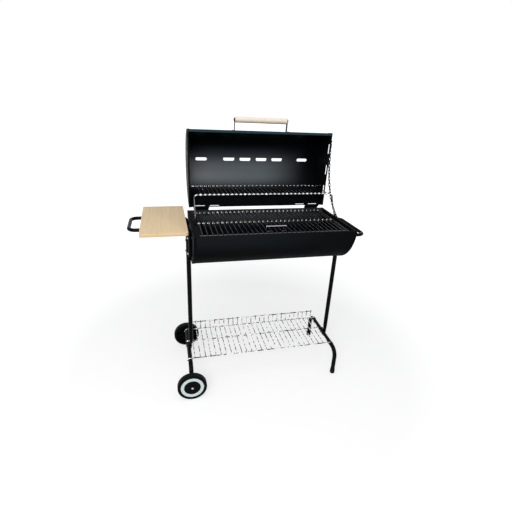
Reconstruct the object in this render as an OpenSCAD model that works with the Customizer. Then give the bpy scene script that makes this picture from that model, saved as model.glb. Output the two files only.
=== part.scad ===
// Barrel charcoal grill on a two-wheeled tube trolley, drawn with its lid open.
// Inside the modules x = 0, y = 0 is the middle of the bowl and z = 0 is the floor;
// the front of the grill faces -Y. place() then moves everything to the middle of its own outline.

/* [Bowl] */
// Length of the bowl over its end plates
bowl_len = 740; // [700:5:800]
// Outer radius of the bowl's curved sheet
bowl_r = 200; // [196:1:210]
// Height of the bowl's rim above the floor
rim_z = 829; // [810:1:860]
// How far the bowl's curve falls short of a half circle
bowl_drop = 12; // [8:1:20]
// Thickness of the sheet steel
sheet = 1.2; // [1:0.1:1.5]
// Width of the lip folded in along the bowl's front and back edges
bowl_lip = 10; // [8:1:11]
// Width of the flange along the top of each end plate
end_flange = 13; // [12:0.5:15]
// Length of the skirt of each end plate over the curved sheet
skirt = 11; // [6:1:14]

/* [Lid] */
// How much shorter than the bowl the lid is at each end
lid_inset = 8; // [6:0.5:10]
// How much smaller than the bowl's radius the lid's is
lid_set_in = 14; // [13:0.5:18]
// Angle at which the open lid is drawn, 0 being closed
lid_open = 88; // [84:1:90]
// Width of the lip folded in along the lid's front edge
lid_lip = 11; // [8:1:12]
// Width of the flange along each lid end plate
lid_flange = 7; // [5:0.5:8]
// Gap between the closed lid and the bowl's rim
lid_gap = 1; // [0.5:0.1:2]
// Length of each smoke vent
vent_len = 59; // [40:1:70]
// Height of each smoke vent
vent_h = 16; // [8:1:20]
// Angle of the vents in front of the lid's crown
vent_angle = 6; // [0:1:20]
// Length of each slot in the lid's end plates
end_slot_len = 50; // [30:1:60]
// Height of each slot in the lid's end plates
end_slot_h = 12; // [8:1:14]
// Height of the end slots' middle above the lid's edge
end_slot_up = 21; // [19:1:26]
// Distance between the end slots
end_slot_pitch = 107; // [80:1:110]
// Length of each slot beside the hinges
rear_slot_len = 50; // [30:1:60]
// Height of each slot beside the hinges
rear_slot_h = 9; // [6:1:10]

/* [Hinges] */
// Height of the hinge pins above the bowl's rim
hinge_up = 13; // [13:0.5:15]
// Distance of the hinge pins behind the lid's rear face
hinge_back = 8; // [8:0.5:9]
// Distance of each hinge from the middle of the bowl
hinge_x = 299; // [250:1:310]
// Width of each hinge
hinge_w = 76; // [60:1:84]
// Diameter of the hinge pins
hinge_pin_d = 5; // [4:0.5:5.5]
// Outer diameter of the hinge knuckles
knuckle_d = 9; // [8.5:0.5:9.5]
// Thickness of the hinge leaves
leaf_t = 2; // [1.5:0.1:2]

/* [Lid grip] */
// Length of the wooden grip between its straps
grip_len = 262; // [200:1:300]
// Diameter of the wooden grip
grip_d = 26; // [20:1:30]
// Reach of the grip's centre line in front of the lid's edge
grip_reach = 44; // [36:1:55]
// Height of the grip above the lid's edge
grip_up = 52; // [40:1:60]
// Width of the grip's straps
strap_w = 20; // [14:1:24]
// Thickness of the grip's straps
strap_t = 2; // [1.5:0.1:3]

/* [Grates] */
// Diameter of the grate wires
wire_d = 4; // [3:0.5:4.5]
// Diameter of the cooking grate's long rods
grate_rod_d = 6; // [5:0.5:7]
// Spacing of the grate wires
grate_pitch = 22; // [18:0.5:30]
// Gap between each end of the cooking grate and the bowl's end
grate_end_gap = 29; // [28.5:0.5:40]
// Gap between the cooking grate's front and back ends and the bowl's radius
grate_edge_gap = 28; // [27:0.5:45]
// Height of the cooking grate's lifting loop above its wires
loop_up = 20; // [14:1:24]
// Width of the lifting loop
loop_w = 92; // [60:1:120]
// Distance of the lifting loop in front of the middle
loop_y = 140; // [125:1:150]
// Depth of the angle ledges under the cooking grate
ledge_w = 40; // [36:1:46]
// Depth of the charcoal grate below the rim
coal_drop = 127; // [110:1:138]
// Gap between each end of the charcoal grate and the bowl's end
coal_end_gap = 20; // [18:0.5:50]
// Spacing of the charcoal grate's wires
coal_pitch = 20; // [16:1:30]

/* [Warming rack] */
// Depth of the warming rack between its two pivots
rack_depth = 188; // [176:1:196]
// Height of the rack's lid pivot above the hinge with the lid open
rack_rise = 100; // [90:1:110]
// Distance of the rack's lid pivot behind the hinge with the lid open
rack_run = 49; // [40:1:60]
// Diameter of the rack's swing wire
bail_d = 5; // [4:0.5:5.5]
// Distance of each swing wire leg inside the bowl's end
bail_inset = 25; // [24.5:0.5:25.5]
// Spacing of the rack's wires
rack_pitch = 21; // [18:0.5:30]
// Gap between each swing wire leg and the rack's wire grid
rack_end_gap = 12.5; // [8:0.5:40]

/* [Trolley] */
// Outer diameter of the posts and foot bars
tube_d = 22; // [19:1:25]
// Wall of every tube
tube_wall = 1.2; // [1:0.1:2]
// Distance of the posts' upper ends below the rim
post_drop = 34; // [31:1:60]
// Height of the foot bars' centre line
bar_z = 146; // [130:1:170]
// Distance of each foot bar's legs from the middle
leg_y = 178; // [160:1:190]
// Bend radius of the foot bars
foot_bend = 46; // [36:1:60]
// Width of the posts' flattened lower ends
paddle_w = 32; // [26:1:36]
// Thickness of the posts' flattened lower ends
paddle_t = 3; // [2.4:0.2:4]
// Outer diameter of the rubber foot caps
cap_d = 25; // [24.5:0.5:32]
// Height of the rubber foot caps
cap_h = 24; // [16:1:40]

/* [Side arm, board and handle] */
// Outer diameter of the side arm and of the push handle
arm_d = 16; // [14:1:20]
// Bend radius of the side arm and of the push handle
arm_bend = 30; // [24:1:36]
// Distance of the side arm's end from the middle of the bowl
arm_reach = 632; // [610:1:680]
// Distance of each side arm tube from the middle
arm_y = 86; // [70:1:110]
// Height of the side arm's centre line above the rim
arm_rise = 0; // [-6:1:6]
// Distance of the side arm's lower ends below the rim
arm_foot_drop = 132; // [110:1:138]
// Distance of the push handle's end from the middle of the bowl
handle_reach = 450; // [430:1:480]
// Distance of each push handle tube inside the bowl's radius
handle_inset = 70; // [66:1:90]
// Distance of the push handle's centre line below the rim
handle_drop = 45; // [30:1:58]
// Distance of the push handle's lower ends below the rim
handle_foot_drop = 123; // [110:1:128]
// Length of the side board from the bowl outwards
board_x = 193; // [160:1:210]
// Width of the side board from front to back
board_y = 410; // [340:2:430]
// Thickness of the side board
board_t = 14; // [12:1:18]
// Gap between the side board and the bowl
board_gap = 20; // [18:1:30]
// Radius of the side board's corners
board_corner = 10; // [4:1:20]

/* [Wheels] */
// Diameter of the wheels
wheel_d = 141; // [120:1:160]
// Width of the wheels' treads
wheel_w = 30; // [26:1:34]
// Diameter of the wheel axle
axle_d = 8; // [7:0.5:10]
// Gap between each leg of the axle frame and the wheel's hub
wheel_gap = 14; // [10:1:20]
// Outer diameter of the white trim rings
ring_od = 112; // [100:1:116]
// Inner diameter of the white trim rings
ring_id = 80; // [70:1:88]

/* [Bottom shelf] */
// Diameter of the shelf's long rods
shelf_rod_d = 5; // [4:0.5:6]
// Spacing of the shelf's cross wires
shelf_pitch = 26; // [22:1:32]
// Distance of the shelf's front rod in front of the middle
shelf_front = 122; // [100:1:130]
// Distance of the shelf's rear rod behind the middle
shelf_rear = 130; // [110:1:132]
// Height of the rail along the back of the shelf
fence_h = 42; // [30:1:60]

/* [Chain] */
// Diameter of the chain's wire
chain_wire = 2.6; // [2:0.2:3]
// Outer length of each chain link
link_len = 22; // [20:1:26]
// Outer width of each chain link
link_w = 11; // [10.5:0.5:12]

/* [Fasteners] */
// Diameter of the frame bolts
bolt_d = 6; // [5:0.5:6]
// Width of the bolt heads and nuts across their corners
hex_d = 11.5; // [10:0.5:12]
// Height of the bolt heads and nuts
hex_h = 4.5; // [3.5:0.5:5]

/* [Hidden] */
$fn = 48;

// Clearances
fit = 0.2;         // between parts that are bolted or laid together
run = 0.05;        // round a pin that turns in its hole
loose = 0.5;       // round the rack's pins in the lid
weld = 0.5;        // how far crossing wires sink into each other
bolt_hole = bolt_d + 2 * fit;
rivet_d = 4;
rivet_head_h = 1.6;
rivet_tail_h = 1;
eps = 1;           // how far a cutting shape runs past what it cuts

// Turns a [y, z] offset by an angle about X
function swing(p, a) = [p[0] * cos(a) - p[1] * sin(a), p[0] * sin(a) + p[1] * cos(a)];
// Where a point [y, z] of the closed lid lies when the lid is open
function opened(p) = hinge + swing(p - hinge, -lid_open);

// Bowl
bowl_axis_z = rim_z + bowl_drop;
bowl_half = bowl_len / 2;
bowl_in_r = bowl_r - sheet;
rim_y = sqrt(bowl_r * bowl_r - bowl_drop * bowl_drop);
skirt_r = bowl_r + fit / 2;

// Lid, drawn closed and then swung open about the hinge pins
lid_z = rim_z + lid_gap;
lid_len = bowl_len - 2 * lid_inset;
lid_half = lid_len / 2;
lid_r = bowl_r - lid_set_in;
lid_in_r = lid_r - sheet;
hinge_y = lid_r + hinge_back;
hinge_z = rim_z + hinge_up;
hinge = [hinge_y, hinge_z];
lid_skirt_r = lid_r + fit / 2;
strap_y = sqrt(lid_r * lid_r - grip_up * grip_up);
grip_y = lid_r + grip_reach;
grip_z = lid_z + grip_up;
vents_x = [45, 134, 281];
rear_slots_x = [231, 305];
rear_slot_up = 18;

// Rack: a parallelogram, so its pivots repeat the hinge's offsets
bail_x = bowl_half - bail_inset;
rack_grid = 2 * (bail_x - bail_d / 2 - rack_end_gap);
lid_pivot = hinge + swing([rack_run, rack_rise], lid_open);
bowl_pivot_y = hinge_y - rack_depth;
bowl_pivot_z = hinge_z;
bail_top_y = bowl_pivot_y + rack_run;
bail_top_z = bowl_pivot_z + rack_rise;
rack_rear_y = bail_top_y + rack_depth;
bail_corner = 14;
bail_lean = atan(rack_run / rack_rise);
bail_leg = round(100 * norm([rack_run, rack_rise])) / 100;
eye_d = bail_d + 2 * wire_d - 2;
eye_w = 7;
bail_hook = 4.5;
bracket_x = bail_x + bail_hook + 1;
bracket_t = 1.5;
bail_end_gap = 0.6;         // from the swing wire's ends to the closing lid's flanges
bracket_w = 18;
rack_pin_x = lid_half + 3;

// Grates
grate_len = bowl_len - 2 * grate_end_gap;
grate_depth = 2 * (bowl_r - grate_edge_gap);
coal_len = bowl_len - 2 * coal_end_gap;
coal_z = rim_z - coal_drop;
ledge_z = rim_z - 11;
ledge_h = 18;
grate_rod_z = ledge_z + grate_rod_d / 2 + fit;
grate_wire_z = grate_rod_z + (grate_rod_d + wire_d) / 2 - weld;
coal_bottom = coal_z - wire_d / 2;
coal_half = sqrt(pow(bowl_in_r - fit, 2) - pow(bowl_axis_z - coal_bottom, 2));
coal_rod_z = coal_z - (grate_rod_d + wire_d) / 2 + weld;

// Trolley
post_top = rim_z - post_drop;
post_x = bowl_half + fit + tube_d / 2;
bar_shift = tube_d / 2 + fit + paddle_t / 2;
left_bar_x = -post_x - bar_shift;
right_bar_x = post_x - bar_shift;
paddle_h = paddle_w;
paddle_neck = 30;
post_bolt_drop = 20;        // below the posts' upper ends
post_bolt_pitch = 85;
post_bolts_z = [post_top - post_bolt_drop, post_top - post_bolt_drop - post_bolt_pitch];
axle_z = wheel_d / 2;
hub_d = 32;
hub_in = 1;                 // how far the hubs stand back from the treads' sides
wheel_y = leg_y + tube_d / 2 + wheel_gap + wheel_w / 2;
axle_cap_t = 2;
axle_end_y = wheel_y + wheel_w / 2 + 1.5;
ring_t = 2;
rib_count = 8;

// Side arm, board and handle
arm_x = bowl_half + fit + arm_d / 2;
arm_z = rim_z + arm_rise;
arm_foot_z = rim_z - arm_foot_drop;
handle_y = bowl_r - handle_inset;
handle_z = rim_z - handle_drop;
handle_foot_z = rim_z - handle_foot_drop;
arm_bolt_in = 14;           // from each tube's lower end, and below its bend
handle_bolt_drop = hex_d / 2 + fit;
arm_bolts_z = [arm_foot_z + arm_bolt_in, arm_z - arm_bend - arm_bolt_in];
handle_bolts_z = [handle_foot_z + arm_bolt_in, handle_z - arm_bend - handle_bolt_drop];
board_right = -(bowl_half + board_gap);
board_z = arm_z + arm_d / 2 + fit;
board_screw_in = 30;        // from the board's edges
board_screws_x = [board_right - board_screw_in, board_right - board_x + board_screw_in];
screw_d = 4;

// Bottom shelf
shelf_rod_z = bar_z + tube_d / 2 + shelf_rod_d / 2 + fit;
shelf_wire_z = shelf_rod_z + (shelf_rod_d + wire_d) / 2 - weld;
shelf_mid_y = paddle_w / 2 + shelf_rod_d / 2 + 4;
shelf_bend = 8;
hook_r = (tube_d + shelf_rod_d) / 2 + fit;
hook_angle = 80;
shelf_rods_y = [-shelf_front, shelf_mid_y, shelf_rear];
fence_y = shelf_rear + shelf_bend;

// Chain: one link hangs on each bolt, the rest follow a sagging curve between them
chain_out = 7;              // between the end plates and the chain's middle
chain_top_x = lid_half + chain_out;
chain_low_x = bowl_half + chain_out;
chain_slot_gap = 13;        // between the lid's front end slot and the chain's bolt
chain_lid_y = -(end_slot_pitch + end_slot_len / 2 + chain_slot_gap);
chain_lid_z = lid_z + 20;
chain_bowl_y = bowl_pivot_y;
chain_bowl_z = post_top + 16;
chain_bolt_d = 4;
chain_washer_d = 9;
chain_nut_d = 7;
chain_nut_h = 3;
link_play = 0.3;
chain_start = opened([chain_lid_y, chain_lid_z]);
chain_end = [chain_bowl_y, chain_bowl_z];
chain_hang = 190;           // how far it hangs straight down from the lid's bolt
chain_sag = [136, 62];      // how far it runs back and up from the bowl's bolt
chain_pull_top = chain_start + [0, -chain_hang];
chain_pull_low = chain_end + chain_sag;
chain_steps = 60;

// Middle of the whole outline, which place() brings to the origin
left_x = -(arm_reach + arm_d / 2);
right_x = handle_reach + arm_d / 2;
front_y = -axle_end_y - axle_cap_t;
rear_y = opened([0, lid_z])[0] + lid_skirt_r + sheet;
mid_x = (left_x + right_x) / 2;
mid_y = (front_y + rear_y) / 2;

module place() {
    translate([-mid_x, -mid_y, 0]) children();
}

// Swings what is drawn on the closed lid to the open position
module open_lid() {
    translate([0, hinge_y, hinge_z]) rotate([-lid_open, 0, 0]) translate([0, -hinge_y, -hinge_z])
        children();
}

module on_left() {
    mirror([1, 0, 0]) children();
}

module both_ends() {
    children();
    mirror([1, 0, 0]) children();
}

module both_sides() {
    children();
    mirror([0, 1, 0]) children();
}

// A flat shape drawn in Y and Z, made len thick from x0 on
module across(x0, len) {
    translate([x0, 0, 0]) rotate([90, 0, 90]) linear_extrude(len) children();
}

module rod_x(x0, x1, y, z, d) {
    translate([x0, y, z]) rotate([0, 90, 0]) cylinder(d = d, h = x1 - x0);
}

module rod_y(x, y0, y1, z, d) {
    translate([x, y0, z]) rotate([-90, 0, 0]) cylinder(d = d, h = y1 - y0);
}

module rod_z(x, y, z0, z1, d) {
    translate([x, y, z0]) cylinder(d = d, h = z1 - z0);
}

// Tube cross section
module tube_ring(d) {
    difference() {
        circle(d = d);
        circle(d = d - 2 * tube_wall);
    }
}

module pipe(len, d) {
    linear_extrude(len) tube_ring(d);
}

module elbow(r, d) {
    rotate_extrude(angle = 90) translate([r, 0]) tube_ring(d);
}

// A hexagon bolt along X, head at x0, and its nut past x1
module bolt_x(x0, x1, y, z, d) {
    rod_x(x0, x1 + hex_h, y, z, d);
    translate([x0 - hex_h, y, z]) rotate([0, 90, 0]) cylinder(d = hex_d, h = hex_h, $fn = 6);
    translate([x1, y, z]) rotate([0, 90, 0]) cylinder(d = hex_d, h = hex_h, $fn = 6);
}

// Rivet along Z, whose heads bear at the heights low and high
module rivet(low, high) {
    translate([0, 0, low - rivet_tail_h]) cylinder(d = rivet_d + 2, h = rivet_tail_h);
    translate([0, 0, low - rivet_tail_h / 2]) cylinder(d = rivet_d, h = high - low + rivet_tail_h);
    translate([0, 0, high]) cylinder(d1 = rivet_d + 3, d2 = rivet_d, h = rivet_head_h);
}

// A slot with round ends, cut through along Z
module slot(len, h, depth) {
    translate([-(len - h) / 2, 0, -depth / 2]) cylinder(d = h, h = depth);
    translate([(len - h) / 2, 0, -depth / 2]) cylinder(d = h, h = depth);
    cube([len - h, h, depth], center = true);
}

// ---------- Bowl ----------

module bowl_section() {
    intersection() {
        translate([0, bowl_axis_z]) difference() {
            circle(r = bowl_r, $fn = 180);
            circle(r = bowl_in_r, $fn = 180);
        }
        translate([-bowl_r - eps, rim_z - 2 * bowl_r]) square([2 * bowl_r + 2 * eps, 2 * bowl_r]);
    }
    for (side = [-1, 1]) {
        translate([side * (rim_y - bowl_lip / 2) - bowl_lip / 2, rim_z - sheet]) square([bowl_lip, sheet]);
    }
}

module bowl_shell() {
    color([0.07, 0.075, 0.085]) difference() {
        across(-bowl_half + sheet, bowl_len - 2 * sheet) bowl_section();
        at_hinges() at_leaf_bolts() rod_y(0, bowl_in_r - eps, bowl_r + eps, 0, leaf_bolt_d + 2 * fit);
    }
}

// Everything on the bowl's side of the rim, r from its axis
module bowl_disc(r) {
    intersection() {
        translate([0, bowl_axis_z]) circle(r = r, $fn = 180);
        translate([-2 * r, rim_z - 2 * r]) square([4 * r, 2 * r]);
    }
}

module end_plate_holes() {
    for (z = post_bolts_z) {
        rod_x(bowl_half - sheet - eps, bowl_half + eps, 0, z, bolt_hole);
    }
}

module bowl_end() {
    across(bowl_half - sheet, sheet) bowl_disc(skirt_r + sheet);
    across(bowl_half - skirt, skirt) difference() {
        bowl_disc(skirt_r + sheet);
        translate([0, bowl_axis_z]) circle(r = skirt_r, $fn = 180);
    }
    flange_y = rim_y - bowl_lip - fit;
    translate([bowl_half - end_flange, -flange_y, rim_z - sheet])
        cube([end_flange, 2 * flange_y, sheet]);
}

module bowl_end_left() {
    color([0.08, 0.08, 0.09]) difference() {
        on_left() bowl_end();
        on_left() end_plate_holes();
        for (z = arm_bolts_z) {
            both_sides() rod_x(-bowl_half - eps, -bowl_half + sheet + eps, arm_y, z, bolt_hole);
        }
    }
}

module bowl_end_right() {
    color([0.08, 0.08, 0.09]) difference() {
        bowl_end();
        end_plate_holes();
        for (z = handle_bolts_z) {
            both_sides() rod_x(bowl_half - sheet - eps, bowl_half + eps, handle_y, z, bolt_hole);
        }
        rod_x(bowl_half - sheet - eps, bowl_half + eps, chain_bowl_y, chain_bowl_z, chain_bolt_d + 2 * fit);
    }
}

// Angle ledge inside an end plate, which carries the cooking grate
module grate_ledge() {
    ledge_y = grate_depth - 20;
    relief_y = [min(0, chain_bowl_y) - hex_d, max(0, chain_bowl_y) + hex_d];
    translate([bowl_half - sheet - ledge_w, -ledge_y / 2, ledge_z - sheet]) cube([ledge_w, ledge_y, sheet]);
    difference() {
        translate([bowl_half - 2 * sheet, -ledge_y / 2, ledge_z - ledge_h]) cube([sheet, ledge_y, ledge_h]);
        // room for the nuts of the post's and the chain's bolts
        translate([bowl_half - 2 * sheet - eps, relief_y[0], ledge_z - ledge_h - eps])
            cube([sheet + 2 * eps, relief_y[1] - relief_y[0], ledge_h + eps - sheet]);
    }
}

module grate_ledge_left() {
    color([0.1, 0.1, 0.11]) on_left() grate_ledge();
}

module grate_ledge_right() {
    color([0.1, 0.1, 0.11]) grate_ledge();
}

module charcoal_grate() {
    wires = floor(coal_len / coal_pitch / 2 - 0.5);
    color([0.35, 0.35, 0.37]) union() {
        for (y = [-coal_half + 40, 0, coal_half - 40]) {
            rod_x(-coal_len / 2, coal_len / 2, y, coal_rod_z, grate_rod_d);
        }
        for (i = [-wires:wires]) {
            rod_y(i * coal_pitch, -coal_half, coal_half, coal_z, wire_d);
        }
    }
}

module cooking_grate() {
    wires = floor((grate_len / 2 - 8) / grate_pitch);
    rod_y0 = grate_depth / 2 - grate_rod_d / 2 - 2;
    color([0.45, 0.45, 0.47]) union() {
        for (y = [-rod_y0, 0, rod_y0]) {
            rod_x(-grate_len / 2, grate_len / 2, y, grate_rod_z, grate_rod_d);
        }
        for (i = [-wires:wires]) {
            rod_y(i * grate_pitch, -grate_depth / 2, grate_depth / 2, grate_wire_z, wire_d);
        }
        // lifting loop
        loop_z = grate_wire_z + loop_up;
        rod_x(-loop_w / 2, loop_w / 2, -loop_y, loop_z, wire_d);
        for (side = [-1, 1]) {
            translate([side * loop_w / 2, -loop_y, loop_z]) sphere(d = wire_d);
            rod_z(side * loop_w / 2, -loop_y, grate_rod_z, loop_z, wire_d);
            translate([side * loop_w / 2, -loop_y, grate_rod_z]) sphere(d = wire_d);
            rod_x(min(side * loop_w / 2, side * (grate_pitch + wire_d)),
                  max(side * loop_w / 2, side * (grate_pitch + wire_d)), -loop_y, grate_rod_z, wire_d);
        }
    }
}

// Upright tab on a ledge, with the hole that the rack's swing wire turns in
module rack_bracket() {
    tab_top = bowl_pivot_z;
    difference() {
        union() {
            translate([bracket_x, bowl_pivot_y - bracket_w / 2, ledge_z])
                cube([bracket_t, bracket_w, tab_top - ledge_z]);
            rod_x(bracket_x, bracket_x + bracket_t, bowl_pivot_y, tab_top, bracket_w);
        }
        rod_x(bracket_x - eps, bracket_x + bracket_t + eps, bowl_pivot_y, tab_top, bail_d + 2 * run);
    }
    translate([bracket_x - 9, bowl_pivot_y - bracket_w / 2, ledge_z]) cube([9, bracket_w, bracket_t]);
}

module rack_brackets() {
    color([0.1, 0.1, 0.11]) both_ends() rack_bracket();
}

// ---------- Hinges ----------

module at_hinges() {
    for (side = [-1, 1]) {
        translate([side * hinge_x, 0, 0]) children();
    }
}

knuckle_w = hinge_w / 3;
side_knuckle_w = (hinge_w - knuckle_w) / 2 - fit;

module knuckle(x0, x1) {
    rod_x(x0, x1, hinge_y, hinge_z, knuckle_d);
}

module pin_hole(gap) {
    rod_x(-hinge_w, hinge_w, hinge_y, hinge_z, hinge_pin_d + 2 * gap);
}

leaf_r = bowl_r + fit;      // inner face of the bowl leaves, which follow the bowl's sheet
leaf_h = 30;                // how far the bowl leaves reach below the rim
leaf_top = hinge_z - 1.5;
leaf_bolt_d = bolt_d - 2;
leaf_bolt_head = leaf_bolt_d + 4;
leaf_bolt_head_h = 2.4;
leaf_bolt_drop = 18;        // below the rim
leaf_bolt_angle = asin((leaf_bolt_drop + bowl_drop) / bowl_r);
lid_leaf_r = lid_r + fit;
lid_leaf_t = leaf_t - 0.4;
lid_leaf_low = 1;           // above the lid's edge
lid_leaf_h = 13;
leaf_rivet_angle = asin((lid_leaf_low + lid_leaf_h / 2) / lid_r);

// Ring round an axis at the height z, cut to a band between two heights, on the rear side
module leaf_band(z, r, t, low, high) {
    intersection() {
        translate([0, z]) difference() {
            circle(r = r + t, $fn = 180);
            circle(r = r, $fn = 180);
        }
        translate([r / 2, low]) square([r, high - low]);
    }
}

// Places on the two leaf bolts of a hinge, with Y along the bolt and the bowl's axis at 0
module at_leaf_bolts() {
    for (side = [-1, 1]) {
        translate([side * hinge_w / 4, 0, bowl_axis_z]) rotate([-leaf_bolt_angle, 0, 0]) children();
    }
}

// Places on the two rivets of a lid leaf, with Z along the rivet and the lid's axis at 0
module at_leaf_rivets() {
    for (side = [-1, 1]) {
        translate([side * hinge_w / 4, 0, lid_z]) rotate([leaf_rivet_angle - 90, 0, 0]) children();
    }
}

module hinge_leaves_bowl() {
    color([0.12, 0.12, 0.13]) at_hinges() difference() {
        union() {
            across(-hinge_w / 2, hinge_w) leaf_band(bowl_axis_z, leaf_r, leaf_t, rim_z - leaf_h, leaf_top);
            for (x = [-hinge_w / 2, hinge_w / 2 - side_knuckle_w]) {
                knuckle(x, x + side_knuckle_w);
                translate([x, hinge_y, leaf_top - leaf_t])
                    cube([side_knuckle_w, leaf_r + leaf_t / 2 - hinge_y, leaf_t]);
            }
        }
        pin_hole(run);
        at_leaf_bolts() rod_y(0, leaf_r - eps, leaf_r + leaf_t + eps, 0, leaf_bolt_d + 2 * fit);
    }
}

module hinge_leaves_lid() {
    color([0.12, 0.12, 0.13]) open_lid() at_hinges() difference() {
        union() {
            knuckle(-knuckle_w / 2 + fit, knuckle_w / 2 - fit);
            translate([-knuckle_w / 2 + fit, lid_leaf_r + lid_leaf_t / 2, hinge_z - leaf_t / 2])
                cube([knuckle_w - 2 * fit, hinge_y - knuckle_d / 4 - lid_leaf_r - lid_leaf_t / 2, leaf_t]);
            across(-hinge_w / 2, hinge_w)
                leaf_band(lid_z, lid_leaf_r, lid_leaf_t,
                          lid_z + lid_leaf_low, lid_z + lid_leaf_low + lid_leaf_h);
        }
        pin_hole(run);
        at_leaf_rivets() rod_z(0, 0, lid_r - eps, lid_leaf_r + lid_leaf_t + eps, rivet_d + 2 * fit);
    }
}

// Rivets that hold the lid leaves, two to a hinge
module leaf_rivets() {
    color([0.5, 0.5, 0.52]) open_lid() at_hinges() at_leaf_rivets()
        rivet(lid_in_r - fit / 2, lid_leaf_r + lid_leaf_t + fit / 2);
}

module hinge_pins() {
    color([0.6, 0.6, 0.62]) at_hinges() union() {
        rod_x(-hinge_w / 2 - 1, hinge_w / 2 + 1, hinge_y, hinge_z, hinge_pin_d);
        for (x = [-hinge_w / 2 - 2.5, hinge_w / 2 + 0.5]) {
            rod_x(x, x + 2, hinge_y, hinge_z, hinge_pin_d + 2);
        }
    }
}

// Screws that hold the bowl leaves, two to a hinge, with their nuts inside the bowl
module hinge_bolts() {
    nut_r = bowl_in_r - fit / 2;
    head_r = leaf_r + leaf_t + fit / 2;
    color([0.5, 0.5, 0.52]) at_hinges() at_leaf_bolts() union() {
        rod_y(0, nut_r - hex_h, head_r + leaf_bolt_head_h / 2, 0, leaf_bolt_d);
        rod_y(0, head_r, head_r + leaf_bolt_head_h, 0, leaf_bolt_head);
        translate([0, nut_r - hex_h + 1, 0]) rotate([-90, 0, 0])
            cylinder(d = leaf_bolt_head, h = hex_h - 1, $fn = 6);
    }
}

// ---------- Lid ----------

module lid_section() {
    intersection() {
        translate([0, lid_z]) difference() {
            circle(r = lid_r, $fn = 180);
            circle(r = lid_in_r, $fn = 180);
        }
        translate([-lid_r - eps, lid_z]) square([2 * lid_r + 2 * eps, lid_r + eps]);
    }
    translate([-lid_r + sheet / 2, lid_z]) square([lid_lip - sheet / 2, sheet]);
}

// Cuts a slot through the lid's sheet at an angle from its crown, positive to the front
module lid_slot(x, angle, len, h) {
    translate([x, 0, lid_z]) rotate([angle, 0, 0]) translate([0, 0, lid_r]) slot(len, h, 20);
}

// The middle vents have square upper corners
module vent_squared(x) {
    lid_slot(x, vent_angle, vent_len, vent_h);
    translate([x, 0, lid_z]) rotate([vent_angle, 0, 0])
        translate([-vent_len / 2, -vent_h / 2, lid_r - 10]) cube([vent_len, vent_h / 2, 20]);
}

module lid_shell() {
    rear_angle = -90 + rear_slot_up / lid_r * 180 / PI;
    color([0.07, 0.08, 0.09]) open_lid() difference() {
        across(-lid_half + sheet, lid_len - 2 * sheet) lid_section();
        for (side = [-1, 1]) {
            vent_squared(side * vents_x[0]);
            vent_squared(side * vents_x[1]);
            lid_slot(side * vents_x[2], vent_angle, vent_len, vent_h);
            for (x = rear_slots_x) {
                lid_slot(side * x, rear_angle, rear_slot_len, rear_slot_h);
            }
        }
        at_hinges() at_leaf_rivets() rod_z(0, 0, lid_in_r - eps, lid_r + eps, rivet_d + 2 * fit);
        at_strap_rivets() rod_z(0, 0, lid_in_r - eps, lid_r + eps, rivet_d + 2 * fit);
    }
}

module lid_disc(r) {
    intersection() {
        translate([0, lid_z]) circle(r = r, $fn = 180);
        translate([-2 * r, lid_z]) square([4 * r, 2 * r]);
    }
}

module lid_end() {
    difference() {
        union() {
            across(lid_half - sheet, sheet) lid_disc(lid_skirt_r + sheet);
            across(lid_half - skirt, skirt) difference() {
                lid_disc(lid_skirt_r + sheet);
                translate([0, lid_z]) circle(r = lid_skirt_r, $fn = 180);
            }
            translate([lid_half - sheet - lid_flange, -lid_in_r + lid_lip, lid_z])
                cube([lid_flange + sheet, 2 * lid_in_r - lid_lip - 1, sheet]);
        }
        for (i = [-1:1]) {
            translate([lid_half, i * end_slot_pitch, lid_z + end_slot_up]) rotate([90, 0, 90])
                slot(end_slot_len, end_slot_h, 10);
        }
        rod_x(lid_half - 5, lid_half + 5, lid_pivot[0], lid_pivot[1], bail_d + 2 * loose);
    }
}

module lid_end_left() {
    color([0.08, 0.085, 0.095]) open_lid() on_left() lid_end();
}

module lid_end_right() {
    color([0.08, 0.085, 0.095]) open_lid() difference() {
        lid_end();
        rod_x(lid_half - 5, lid_half + 5, chain_lid_y, chain_lid_z, chain_bolt_d + 2 * fit);
    }
}

// Rounded bar, turned as one piece
module lid_grip() {
    edge = 3;
    color([0.85, 0.76, 0.6]) open_lid() translate([-grip_len / 2, -grip_y, grip_z]) rotate([0, 90, 0])
        difference() {
            rotate_extrude() union() {
                square([grip_d / 2 - edge, grip_len]);
                translate([0, edge]) square([grip_d / 2, grip_len - 2 * edge]);
                for (z = [edge, grip_len - edge]) {
                    translate([grip_d / 2 - edge, z]) circle(r = edge);
                }
            }
            for (z = [-eps, grip_len - grip_screw_len]) {
                translate([0, 0, z]) cylinder(d = screw_d + 2 * fit, h = grip_screw_len + eps);
            }
        }
}

strap_tilt = asin(grip_up / lid_r);
strap_x = grip_len / 2 + fit;
strap_foot = 16;            // length of each strap's foot along the lid
strap_rivet_x = strap_x + (strap_foot + strap_t) / 2;
strap_rivet_pitch = 12;
strap_foot_r = lid_r + fit + strap_t;
grip_screw_len = 22;
grip_screw_head = 14;
grip_screw_head_h = 3;

module grip_strap() {
    difference() {
        union() {
            difference() {
                translate([strap_x, -grip_y, grip_z - strap_w / 2])
                    cube([strap_t, grip_y - strap_y + strap_t, strap_w]);
                rod_x(strap_x - eps, strap_x + strap_t + eps, 0, lid_z, 2 * (lid_r + fit), $fn = 180);
            }
            rod_x(strap_x, strap_x + strap_t, -grip_y, grip_z, strap_w);
            translate([0, 0, lid_z]) rotate([-strap_tilt, 0, 0])
                translate([strap_x, -strap_foot_r, -strap_w / 2]) cube([strap_foot, strap_t, strap_w]);
        }
        rod_x(strap_x - eps, strap_x + strap_t + eps, -grip_y, grip_z, screw_d + 2 * fit);
        at_strap_rivets() rod_z(0, 0, lid_r - eps, strap_foot_r + eps, rivet_d + 2 * fit);
    }
}

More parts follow.
